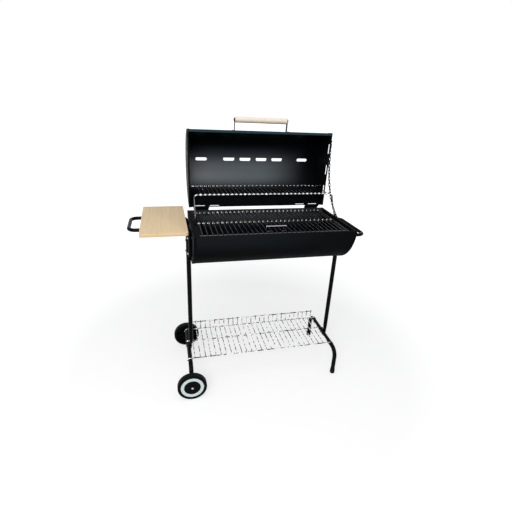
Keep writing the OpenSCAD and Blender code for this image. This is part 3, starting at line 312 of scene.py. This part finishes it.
def make_grain_group():
    """Sawn softwood: growth rings drawn out along the grain, pores and a few darker streaks."""
    group, given, result = new_group(
        "wood_grain",
        [
            ("Vector", "NodeSocketVector", (0.0, 0.0, 0.0)),
            ("Early Wood", "NodeSocketColor", (0.8, 0.65, 0.45, 1.0)),
            ("Late Wood", "NodeSocketColor", (0.62, 0.44, 0.26, 1.0)),
            ("Contrast", "NodeSocketFloat", 0.6),
        ],
        [("Color", "NodeSocketColor"), ("Roughness", "NodeSocketFloat"), ("Normal", "NodeSocketVector")],
    )
    drawn = group.nodes.new("ShaderNodeMapping")
    drawn.inputs["Scale"].default_value = (0.06, 1.0, 1.0)
    group.links.new(given.outputs["Vector"], drawn.inputs["Vector"])
    rings = group.nodes.new("ShaderNodeTexWave")
    rings.wave_type = "RINGS"
    rings.rings_direction = "X"
    rings.inputs["Scale"].default_value = 17.0
    rings.inputs["Distortion"].default_value = 6.5
    rings.inputs["Detail"].default_value = 3.0
    rings.inputs["Detail Scale"].default_value = 3.5
    group.links.new(drawn.outputs[0], rings.inputs["Vector"])
    streak = add_noise(group, drawn.outputs[0], 160.0, 4.0, 0.65)
    broad = add_noise(group, drawn.outputs[0], 18.0, 3.0, 0.5)
    blend = group.nodes.new("ShaderNodeMath")
    blend.operation = "MULTIPLY_ADD"
    group.links.new(rings.outputs["Fac"], blend.inputs[0])
    blend.inputs[1].default_value = 0.45
    group.links.new(add_range(group, streak.outputs["Fac"], 0.3, 0.75, 0.0, 0.35), blend.inputs[2])
    sum_up = group.nodes.new("ShaderNodeMath")
    sum_up.operation = "ADD"
    group.links.new(blend.outputs[0], sum_up.inputs[0])
    group.links.new(add_range(group, broad.outputs["Fac"], 0.35, 0.7, 0.0, 0.3), sum_up.inputs[1])
    weigh = group.nodes.new("ShaderNodeMath")
    weigh.operation = "MULTIPLY"
    weigh.use_clamp = True
    group.links.new(sum_up.outputs[0], weigh.inputs[0])
    group.links.new(given.outputs["Contrast"], weigh.inputs[1])
    group.links.new(add_mix(group, weigh.outputs[0], given.outputs["Early Wood"], given.outputs["Late Wood"]),
                    result.inputs["Color"])
    group.links.new(add_range(group, streak.outputs["Fac"], 0.3, 0.7, 0.48, 0.66), result.inputs["Roughness"])
    bump = group.nodes.new("ShaderNodeBump")
    bump.inputs["Strength"].default_value = 0.35
    bump.inputs["Distance"].default_value = 0.0005
    group.links.new(streak.outputs["Fac"], bump.inputs["Height"])
    group.links.new(bump.outputs["Normal"], result.inputs["Normal"])
    return group


def make_crossing_glint_group():
    """Crossings of wires and rods, where painted glints are laid: spots along X at a pitch, on up to three
    rows in Y.
    """
    group, given, result = new_group(
        "wire_crossings",
        [
            ("Start", "NodeSocketFloat", 0.0),
            ("Half Pitch", "NodeSocketFloat", 0.011),
            ("Row 1", "NodeSocketFloat", 0.0),
            ("Row 2", "NodeSocketFloat", 0.0),
            ("Row 3", "NodeSocketFloat", 0.0),
            ("Reach", "NodeSocketFloat", 0.005),
        ],
        [("Mask", "NodeSocketFloat")],
    )
    parts = group.nodes.new("ShaderNodeSeparateXYZ")
    group.links.new(group.nodes.new("ShaderNodeTexCoord").outputs["Object"], parts.inputs[0])

    def sum_of(kind, first, second):
        step = group.nodes.new("ShaderNodeMath")
        step.operation = kind
        group.links.new(first, step.inputs[0])
        group.links.new(second, step.inputs[1])
        return step.outputs[0]

    def size_of(value):
        step = group.nodes.new("ShaderNodeMath")
        step.operation = "ABSOLUTE"
        group.links.new(value, step.inputs[0])
        return step.outputs[0]

    along = sum_of("SUBTRACT", parts.outputs["X"], given.outputs["Start"])
    off_wire = sum_of("PINGPONG", along, given.outputs["Half Pitch"])
    rows = [size_of(sum_of("SUBTRACT", parts.outputs["Y"], given.outputs[f"Row {i}"])) for i in (1, 2, 3)]
    off_row = sum_of("MINIMUM", sum_of("MINIMUM", rows[0], rows[1]), rows[2])
    mask = sum_of("MULTIPLY", sum_of("LESS_THAN", off_wire, given.outputs["Reach"]),
                  sum_of("LESS_THAN", off_row, given.outputs["Reach"]))
    group.links.new(mask, result.inputs["Mask"])
    return group


coating_group = make_coating_group()
crossing_glint_group = make_crossing_glint_group()
wire_group = make_wire_group()
grain_group = make_grain_group()


# ---------- Finishes ----------


def new_finish(name, group, values, shell):
    """A material whose colour, roughness and skin come from a shared effect."""
    finish = bpy.data.materials.new(name)
    finish.use_nodes = True
    tree = finish.node_tree
    surface = tree.nodes["Principled BSDF"]
    effect = tree.nodes.new("ShaderNodeGroup")
    effect.node_tree = group
    for label, value in values.items():
        effect.inputs[label].default_value = value
    for label in ("Color", "Roughness", "Normal"):
        target = "Base Color" if label == "Color" else label
        tree.links.new(effect.outputs[label], surface.inputs[target])
    for label, value in shell.items():
        surface.inputs[label].default_value = value
    return finish, tree, effect


def coating(name, deep, worn, smooth, rough, peel, dust, sheen):
    values = {
        "Deep": (*deep, 1.0),
        "Worn": (*worn, 1.0),
        "Smooth": smooth,
        "Rough": rough,
        "Peel": peel,
        "Dust Amount": dust,
    }
    return new_finish(name, coating_group, values, {"Specular IOR Level": sheen})[0]


def plated(name, bright, dulled_and_dark_reflection, patch_from, patch_to, smooth, rough, patch=16.0):
    values = {
        "Bright": (*bright, 1.0),
        "Dulled And Dark Reflection": (*dulled_and_dark_reflection, 1.0),
        "Patch From": patch_from,
        "Patch To": patch_to,
        "Smooth": smooth,
        "Rough": rough,
        "Patch Scale": patch,
    }
    return new_finish(name, wire_group, values, {"Metallic": 1.0})[0]


def wood(name, turn, early, late, contrast):
    values = {"Early Wood": (*early, 1.0), "Late Wood": (*late, 1.0), "Contrast": contrast}
    finish, tree, effect = new_finish(name, grain_group, values, {"Specular IOR Level": 0.35})
    place = tree.nodes.new("ShaderNodeTexCoord")
    mapping = tree.nodes.new("ShaderNodeMapping")
    mapping.inputs["Location"].default_value = turn[0]
    mapping.inputs["Rotation"].default_value = turn[1]
    tree.links.new(place.outputs["Object"], mapping.inputs["Vector"])
    tree.links.new(mapping.outputs[0], effect.inputs["Vector"])
    return finish


def blend_over(finish, mask, colour):
    """Lays a colour over a finish's own where the mask is 1."""
    tree = finish.node_tree
    surface = tree.nodes["Principled BSDF"]
    under = surface.inputs["Base Color"].links[0].from_socket
    tree.links.new(add_mix(tree, mask, under, (*colour, 1.0)), surface.inputs["Base Color"])


def smooth_range(tree, value, low, high, to_low, to_high):
    spread = tree.nodes.new("ShaderNodeMapRange")
    spread.interpolation_type = "SMOOTHSTEP"
    spread.inputs["From Min"].default_value = low
    spread.inputs["From Max"].default_value = high
    spread.inputs["To Min"].default_value = to_low
    spread.inputs["To Max"].default_value = to_high
    tree.links.new(value, spread.inputs["Value"])
    return spread.outputs["Result"]


def place_parts(tree):
    parts = tree.nodes.new("ShaderNodeSeparateXYZ")
    tree.links.new(tree.nodes.new("ShaderNodeTexCoord").outputs["Object"], parts.inputs[0])
    return parts.outputs


def add_math(tree, kind, first, second=0.0):
    step = tree.nodes.new("ShaderNodeMath")
    step.operation = kind
    for slot, value in enumerate((first, second)):
        if isinstance(value, float):
            step.inputs[slot].default_value = value
        else:
            tree.links.new(value, step.inputs[slot])
    return step.outputs[0]


def off_line(tree, first, second):
    """Square of the distance from a line, from the offsets across it."""
    first_square = add_math(tree, "MULTIPLY", first, first)
    return add_math(tree, "ADD", first_square, add_math(tree, "MULTIPLY", second, second))


def gloss_lid_and_paint_sheen():
    """Inside of the lid: wiped to a gloss over the middle of its curve, matt near its lip and hinges; the
    same band also gets a painted blue-grey sheen in its colour.
    """
    tree = lid_black.node_tree
    surface = tree.nodes["Principled BSDF"]
    parts = place_parts(tree)
    back = add_math(tree, "SUBTRACT", parts["Y"], LID_AXIS[0])
    drop = add_math(tree, "SUBTRACT", LID_AXIS[1], parts["Z"])
    angle = add_math(tree, "ARCTAN2", drop, back)
    inner = add_math(tree, "LESS_THAN", off_line(tree, back, drop), LID_SKIN * LID_SKIN)
    rise = smooth_range(tree, angle, *[math.radians(turn) for turn in LID_GLOSS_AND_SHEEN_FROM], 0.0, 1.0)
    fall = smooth_range(tree, angle, *[math.radians(turn) for turn in LID_GLOSS_AND_SHEEN_TO], 1.0, 0.0)
    side = smooth_range(tree, parts["X"], *LID_GLOSS_AND_SHEEN_SIDE, 1.0, 0.0)
    band = add_math(tree, "MULTIPLY", rise, fall)
    mask = add_math(tree, "MULTIPLY", band, add_math(tree, "MULTIPLY", side, inner))
    tree.links.new(mask, surface.inputs["Coat Weight"])
    surface.inputs["Coat Roughness"].default_value = 0.38
    surface.inputs["Coat IOR"].default_value = 1.62
    # painted sheen: a blue-grey colour over the gloss band stands in for a reflection
    blend_over(lid_black, mask, LID_PAINTED_SHEEN_BLUE)


def paint_lip_sheen():
    """Front lip of the lid: a painted blue-green sheen along the fold."""
    tree = lid_black.node_tree
    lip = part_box("lid_shell")[0][1] + LIP_DEPTH
    # painted sheen: teal laid on the lid's front lip
    blend_over(lid_black, add_math(tree, "LESS_THAN", place_parts(tree)["Y"], lip), LIP_PAINTED_SHEEN_TEAL)


def paint_light_on_bowl():
    """Bowl: painted light outside, paler towards its rim and fading towards its right end, and painted light
    on the back wall inside, paler towards its top.
    """
    tree = kettle_black.node_tree
    parts = place_parts(tree)
    back = add_math(tree, "SUBTRACT", parts["Y"], BOWL_AXIS[0])
    drop = add_math(tree, "SUBTRACT", parts["Z"], BOWL_AXIS[1])
    outer = add_math(tree, "GREATER_THAN", off_line(tree, back, drop), BOWL_SKIN * BOWL_SKIN)
    inner = add_math(tree, "SUBTRACT", 1.0, outer)
    # painted light: the outside turns paler towards the rim, less so towards the right end
    rim = smooth_range(tree, parts["Z"], *BOWL_PAINTED_LIGHT_HEIGHTS, 0.0, 1.0)
    rim = add_math(tree, "MULTIPLY", rim, smooth_range(tree, parts["X"], *BOWL_PAINTED_LIGHT_SIDE, 1.0, 0.2))
    blend_over(kettle_black, add_math(tree, "MULTIPLY", rim, outer), BOWL_PAINTED_LIGHT_GREY)
    # painted light: the back wall inside is paler towards its top
    wall = add_math(tree, "MULTIPLY", add_math(tree, "GREATER_THAN", back, 0.0), inner)
    wall = add_math(tree, "MULTIPLY", wall, smooth_range(tree, parts["Z"], *BACK_WALL_PAINTED_LIGHT_HEIGHTS, 0.0, 1.0))
    blend_over(kettle_black, wall, BACK_WALL_PAINTED_LIGHT_GREY)


def crossing_glint_mask(tree, start, pitch, rows, reach):
    crossing = tree.nodes.new("ShaderNodeGroup")
    crossing.node_tree = crossing_glint_group
    crossing.inputs["Start"].default_value = start
    crossing.inputs["Half Pitch"].default_value = pitch / 2
    crossing.inputs["Reach"].default_value = reach
    for i in (0, 1, 2):
        crossing.inputs[f"Row {i + 1}"].default_value = rows[min(i, len(rows) - 1)]
    return crossing.outputs["Mask"]


def middle_of(low, high):
    return [(a + b) / 2 for a, b in zip(low, high)]


def paint_grate_highlights():
    """Cooking grate: painted highlights on its dark wires: paler over the front half, bright spots where the
    wires cross the middle and back rods, and a paler top.
    """
    tree = fire_wire.node_tree
    low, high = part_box("cooking_grate")
    middle = middle_of(low, high)
    parts = place_parts(tree)
    # painted highlight: the wires over the front half are paler
    front = smooth_range(tree, parts["Y"], middle[1] - 0.030, middle[1] + 0.004, 1.0, 0.0)
    blend_over(fire_wire, front, (0.095, 0.095, 0.105))
    # painted glints: bright spots where the wires cross the middle and back rods
    rows = (middle[1], high[1] - ROD_INSET)
    blend_over(fire_wire, crossing_glint_mask(tree, middle[0], GRATE_PITCH, rows, 0.0052), (0.90, 0.88, 0.88))
    # painted highlight: the top of the grate is paler
    loop = add_math(tree, "GREATER_THAN", parts["Z"], high[2] - ROD_INSET)
    blend_over(fire_wire, loop, (0.55, 0.55, 0.56))


def paint_rack_glints():
    """Warming rack: painted glints where its wires cross its rods."""
    low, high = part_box("warming_rack")
    rows = (low[1] + ROD_INSET, high[1] - ROD_INSET)
    for finish in (rack_chrome, swing_chrome):
        glint_spots = crossing_glint_mask(finish.node_tree, middle_of(low, high)[0], RACK_PITCH, rows, 0.0058)
        # painted glints: bright spots on the rack's and bail's wires at the crossings
        blend_over(finish, glint_spots, (0.92, 0.90, 0.90))


def brighten_hub():
    """Axle caps: a bright spot in the middle."""
    tree = cap_black.node_tree
    parts = place_parts(tree)
    hub = middle_of(*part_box("front_wheel"))
    across = add_math(tree, "SUBTRACT", parts["X"], hub[0])
    up = add_math(tree, "SUBTRACT", parts["Z"], hub[2])
    spot = add_math(tree, "LESS_THAN", off_line(tree, across, up), HUB_SPOT * HUB_SPOT)
    blend_over(cap_black, spot, (0.80, 0.82, 0.84))


def warm_front_edge():
    """Front edge of the board, warmer in colour than its top face."""
    tree = board_wood.node_tree
    facing = tree.nodes.new("ShaderNodeSeparateXYZ")
    tree.links.new(tree.nodes.new("ShaderNodeNewGeometry").outputs["Normal"], facing.inputs[0])
    blend_over(board_wood, smooth_range(tree, facing.outputs["Y"], -0.9, -0.3, 0.75, 0.0), (0.93, 0.63, 0.36))


# lid: axis in Y and Z, radius between its two faces, gloss and painted sheen in degrees round the axis and
# along X
LID_AXIS = (0.1122, 1.0355)
LID_SKIN = 0.1854
LID_GLOSS_AND_SHEEN_FROM = (-40.0, 6.0)
LID_GLOSS_AND_SHEEN_TO = (18.0, 46.0)
LID_GLOSS_AND_SHEEN_SIDE = (0.12, 0.42)
# colour of the painted sheen on the inside of the lid
LID_PAINTED_SHEEN_BLUE = (0.050, 0.066, 0.082)
LIP_DEPTH = 0.002
# colour of the painted sheen on the lid's front lip
LIP_PAINTED_SHEEN_TEAL = (0.020, 0.050, 0.066)

# bowl: axis in Y and Z, radius between its two faces, heights where the painted light begins and ends
BOWL_AXIS = (-0.063, 0.841)
BOWL_SKIN = 0.1994
BOWL_PAINTED_LIGHT_HEIGHTS = (0.720, 0.800)
BOWL_PAINTED_LIGHT_SIDE = (-0.05, 0.42)
# colour of the painted light on the bowl's upper outside
BOWL_PAINTED_LIGHT_GREY = (0.0115, 0.0140, 0.0160)
BACK_WALL_PAINTED_LIGHT_HEIGHTS = (0.735, 0.790)
# colour of the painted light on the bowl's back wall inside
BACK_WALL_PAINTED_LIGHT_GREY = (0.046, 0.050, 0.058)

RACK_PITCH = 0.021
GRATE_PITCH = 0.022
ROD_INSET = 0.005
HUB_SPOT = 0.0052

kettle_black = coating(
    "kettle_black", (0.0022, 0.0029, 0.0032), (0.0036, 0.0045, 0.0050), 0.52, 0.64, 0.10, 0.03, 0.014
)
bowl_end_black = coating(
    "bowl_end_black", (0.0040, 0.0050, 0.0056), (0.0058, 0.0070, 0.0078), 0.52, 0.64, 0.10, 0.03, 0.014
)
lid_black = coating(
    "lid_black", (0.0016, 0.0022, 0.0030), (0.0030, 0.0042, 0.0052), 0.30, 0.42, 0.08, 0.03, 0.05
)
lid_end_black = coating(
    "lid_end_black", (0.0020, 0.0028, 0.0036), (0.0038, 0.0050, 0.0060), 0.42, 0.54, 0.08, 0.03, 0.04
)
fitting_black = coating(
    "fitting_black", (0.0030, 0.0030, 0.0034), (0.0060, 0.0060, 0.0064), 0.46, 0.60, 0.12, 0.03, 0.04
)
frame_black = coating(
    "frame_black", (0.0014, 0.0014, 0.0018), (0.0030, 0.0030, 0.0034), 0.20, 0.32, 0.06, 0.02, 0.05
)
plug_black = coating(
    "plug_black", (0.0050, 0.0050, 0.0055), (0.0090, 0.0090, 0.0095), 0.5, 0.65, 0.2, 0.05, 0.12
)
foot_rubber = coating(
    "foot_rubber", (0.0050, 0.0050, 0.0050), (0.0100, 0.0095, 0.0090), 0.62, 0.8, 0.3, 0.10, 0.10
)
tread_black = coating(
    "tread_black", (0.0014, 0.0024, 0.0025), (0.0030, 0.0045, 0.0045), 0.35, 0.55, 0.2, 0.05, 0.045
)
ring_white = coating("ring_white", (0.86, 0.99, 1.0), (0.80, 0.95, 0.97), 0.28, 0.4, 0.03, 0.04, 0.5)
chain_black = coating(
    "chain_black", (0.0014, 0.0014, 0.0016), (0.0036, 0.0034, 0.0034), 0.45, 0.65, 0.15, 0.02, 0.03
)
swing_chrome = plated("swing_chrome", (0.16, 0.16, 0.17), (0.05, 0.05, 0.06), 0.42, 0.62, 0.12, 0.30)
rack_chrome = plated("rack_chrome", (0.10, 0.10, 0.11), (0.03, 0.03, 0.04), 0.42, 0.62, 0.12, 0.30)
# painted reflection: the bottom shelf's dark patches, short dashes along its wires, stand in for dark
# reflections
shelf_chrome = plated("shelf_chrome", (0.90, 0.90, 0.92), (0.02, 0.02, 0.03), 0.47, 0.53, 0.10, 0.22, 62.0)
fire_wire = plated("fire_wire", (0.009, 0.010, 0.012), (0.004, 0.004, 0.005), 0.40, 0.56, 0.20, 0.45)
ash_wire = plated("ash_wire", (0.006, 0.006, 0.007), (0.003, 0.003, 0.003), 0.40, 0.60, 0.4, 0.7)
cap_black = coating(
    "cap_black", (0.0016, 0.0024, 0.0024), (0.0030, 0.0040, 0.0040), 0.30, 0.42, 0.1, 0.02, 0.08
)
zinc_bolt = plated("zinc_bolt", (0.62, 0.62, 0.64), (0.30, 0.30, 0.30), 0.45, 0.7, 0.25, 0.45)
board_wood = wood("board_wood", ((0.31, 0.0, -0.75), (0.0, 0.0, math.radians(90))),
                  (0.80, 0.63, 0.395), (0.64, 0.44, 0.24), 0.45)
grip_wood = wood("grip_wood", ((0.0, -0.02, -1.20), (0.0, 0.0, 0.0)),
                 (0.94, 0.85, 0.72), (0.84, 0.71, 0.54), 0.5)

gloss_lid_and_paint_sheen()
paint_lip_sheen()
paint_light_on_bowl()
paint_grate_highlights()
paint_rack_glints()
brighten_hub()
warm_front_edge()


def finish_nodes(finish, *names):
    for name in names:
        skin = nodes[name].data
        skin.materials.clear()
        skin.materials.append(finish)


finish_nodes(kettle_black, "bowl_shell")
finish_nodes(bowl_end_black, "bowl_end_left", "bowl_end_right")
finish_nodes(lid_black, "lid_shell")
finish_nodes(lid_end_black, "lid_end_left", "lid_end_right")
finish_nodes(fitting_black, "grate_ledge_left", "grate_ledge_right", "rack_brackets",
             "hinge_leaves_bowl", "hinge_leaves_lid")
finish_nodes(frame_black, "left_post", "right_post", "left_foot_bar", "right_foot_bar",
             "side_arm", "push_handle", "grip_straps", "grip_screws")
finish_nodes(plug_black, "post_plugs", "axle_spacers")
finish_nodes(foot_rubber, "foot_caps")
finish_nodes(tread_black, "front_wheel", "rear_wheel")
finish_nodes(ring_white, "front_wheel_ring", "rear_wheel_ring")
finish_nodes(chain_black, "lid_chain", "chain_bolt_lid", "chain_bolt_bowl")
finish_nodes(swing_chrome, "rack_bail")
finish_nodes(rack_chrome, "warming_rack")
finish_nodes(cap_black, "axle_caps")
finish_nodes(shelf_chrome, "bottom_shelf")
finish_nodes(fire_wire, "cooking_grate")
finish_nodes(ash_wire, "charcoal_grate")
finish_nodes(zinc_bolt, "hinge_pins", "hinge_bolts", "leaf_rivets", "grip_rivets", "post_bolts", "foot_bolts",
             "side_arm_bolts", "push_handle_bolts", "board_screws", "axle")
finish_nodes(grip_wood, "lid_grip")
finish_nodes(board_wood, "side_board")


# ---------- Tools for new pieces ----------


def clear_selection():
    if bpy.context.active_object and bpy.context.active_object.mode != "OBJECT":
        bpy.ops.object.mode_set(mode="OBJECT")
    bpy.ops.object.select_all(action="DESELECT")


def pick(piece):
    clear_selection()
    piece.select_set(True)
    bpy.context.view_layer.objects.active = piece


def settle(piece):
    """Puts the piece's place into its mesh."""
    pick(piece)
    bpy.ops.object.transform_apply(location=True, rotation=True, scale=True)


def bevel_edges(piece, width, steps, angle=30.0):
    pick(piece)
    edge = piece.modifiers.new("edge", "BEVEL")
    edge.width = width
    edge.segments = steps
    edge.limit_method = "ANGLE"
    edge.angle_limit = math.radians(angle)
    edge.harden_normals = False
    bpy.ops.object.modifier_apply(modifier="edge")
    bpy.ops.object.shade_smooth_by_angle(angle=math.radians(35))


def finish_piece(piece, name, finish, body, slot, *stands_for):
    piece.name = name
    piece.data.name = name
    piece.data.materials.clear()
    piece.data.materials.append(finish)
    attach(piece, body)
    if stands_for:
        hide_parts(*stands_for)


# ---------- Side board ----------


def make_board():
    corner = 0.010
    board_low, board_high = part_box("side_board")
    middle = middle_of(board_low, board_high)
    size = [high - low for low, high in zip(board_low, board_high)]
    clear_selection()
    bpy.ops.mesh.primitive_cube_add(size=1.0, location=middle, scale=size)
    board = bpy.context.active_object
    settle(board)
    bpy.ops.object.mode_set(mode="EDIT")
    bpy.ops.mesh.select_mode(type="EDGE")
    bpy.ops.mesh.select_all(action="DESELECT")
    bpy.ops.object.mode_set(mode="OBJECT")
    for edge in board.data.edges:
        ends = [board.data.vertices[i].co for i in edge.vertices]
        if abs(ends[0].z - ends[1].z) > size[2] / 2:
            edge.select = True
    bpy.ops.object.mode_set(mode="EDIT")
    bpy.ops.mesh.bevel(offset=corner, segments=6, affect="EDGES")
    bpy.ops.object.mode_set(mode="OBJECT")
    bevel_edges(board, 0.0016, 3)
    finish_piece(board, "board_slab", board_wood, "trolley", "pale_wood", "side_board")


# ---------- Chain ----------

# the solids' links are CHAIN_WIRE thick and set the count; the seen ones are CHAIN_THICK
CHAIN_WIRE = 0.0026
CHAIN_THICK = 0.0039
CHAIN_LINK = 0.022
CHAIN_WIDTH = 0.0122
CHAIN_PLAY = 0.0003
CHAIN_BOLT = 0.004
CHAIN_HANG = 0.190
CHAIN_SAG = (0.136, 0.062)
CHAIN_STEPS = 400


def chain_curve(top, low):
    """Sagging line from the lid's bolt to the bowl's, as points with the length reached at each."""
    pull_top = top + Vector((0.0, 0.0, -CHAIN_HANG))
    pull_low = low + Vector((0.0, *CHAIN_SAG))
    points = []
    reached = 0.0
    for i in range(CHAIN_STEPS + 1):
        t = i / CHAIN_STEPS
        point = top * (1 - t) ** 3 + pull_top * (3 * t * (1 - t) ** 2)
        point = point + pull_low * (3 * (1 - t) * t * t) + low * t ** 3
        if points:
            reached += (point - points[-1][0]).length
        points.append((point, reached))
    return points


def chain_point(points, distance):
    last = len(points) - 1
    i = 0
    while i < last - 1 and points[i + 1][1] < distance:
        i += 1
    (a, start), (b, end) = points[i], points[i + 1]
    return a + (b - a) * ((distance - start) / (end - start))


def make_link(length):
    clear_selection()
    bow = (CHAIN_WIDTH - CHAIN_THICK) / 2
    bpy.ops.mesh.primitive_torus_add(major_segments=24, minor_segments=10,
                                     major_radius=bow, minor_radius=CHAIN_THICK / 2)
    link = bpy.context.active_object
    straight = length - CHAIN_WIDTH
    for side in (1, -1):
        bpy.ops.object.mode_set(mode="EDIT")
        bpy.ops.mesh.select_mode(type="VERT")
        bpy.ops.mesh.select_all(action="DESELECT")
        bpy.ops.object.mode_set(mode="OBJECT")
        for corner in link.data.vertices:
            corner.select = corner.co.y * side > 0.0002
        bpy.ops.object.mode_set(mode="EDIT")
        bpy.ops.transform.translate(value=(0, side * straight / 2, 0))
        bpy.ops.object.mode_set(mode="OBJECT")
    bpy.ops.object.shade_smooth()
    return link


def make_chain():
    top = Vector(middle_of(*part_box("chain_bolt_lid")))
    low = Vector(middle_of(*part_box("chain_bolt_bowl")))
    washer = 1.5 * CHAIN_WIRE + CHAIN_PLAY
    top_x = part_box("chain_bolt_lid")[1][0] - washer
    low_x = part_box("chain_bolt_bowl")[1][0] - washer
    top.x = low.x = 0.0
    points = chain_curve(top, low)
    total = points[-1][1]
    over = (CHAIN_BOLT + CHAIN_PLAY) / 2
    count = 2 * round((total / (CHAIN_LINK - 2 * CHAIN_WIRE - CHAIN_PLAY) - 1) / 2) + 1
    spread = round((total + 2 * over) / count, 5)
    pattern = make_link(spread + 2 * CHAIN_THICK + CHAIN_PLAY)
    links = []
    for i in range(count):
        s = (i + 0.5) * spread - over
        place = chain_point(points, s)
        along = (chain_point(points, s + 0.001) - chain_point(points, s - 0.001)).normalized()
        lean = math.atan2(along.z, along.y)
        turn = Matrix.Rotation(lean, 4, "X") @ Matrix.Rotation(math.radians(90 if i % 2 == 0 else 0), 4, "Y")
        link = pattern.copy()
        link.data = pattern.data.copy()
        place.x = top_x + (low_x - top_x) * s / total
        link.data.transform(Matrix.Translation(place) @ turn)
        bpy.context.scene.collection.objects.link(link)
        links.append(link)
    bpy.data.objects.remove(pattern)
    clear_selection()
    for link in links:
        link.select_set(True)
    bpy.context.view_layer.objects.active = links[0]
    bpy.ops.object.join()
    chain = bpy.context.active_object
    chain.name = "stay_chain"
    chain.data.materials.clear()
    chain.data.materials.append(chain_black)
    top.x, low.x = top_x, low_x
    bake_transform(chain)
    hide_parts("lid_chain")


make_board()
make_chain()
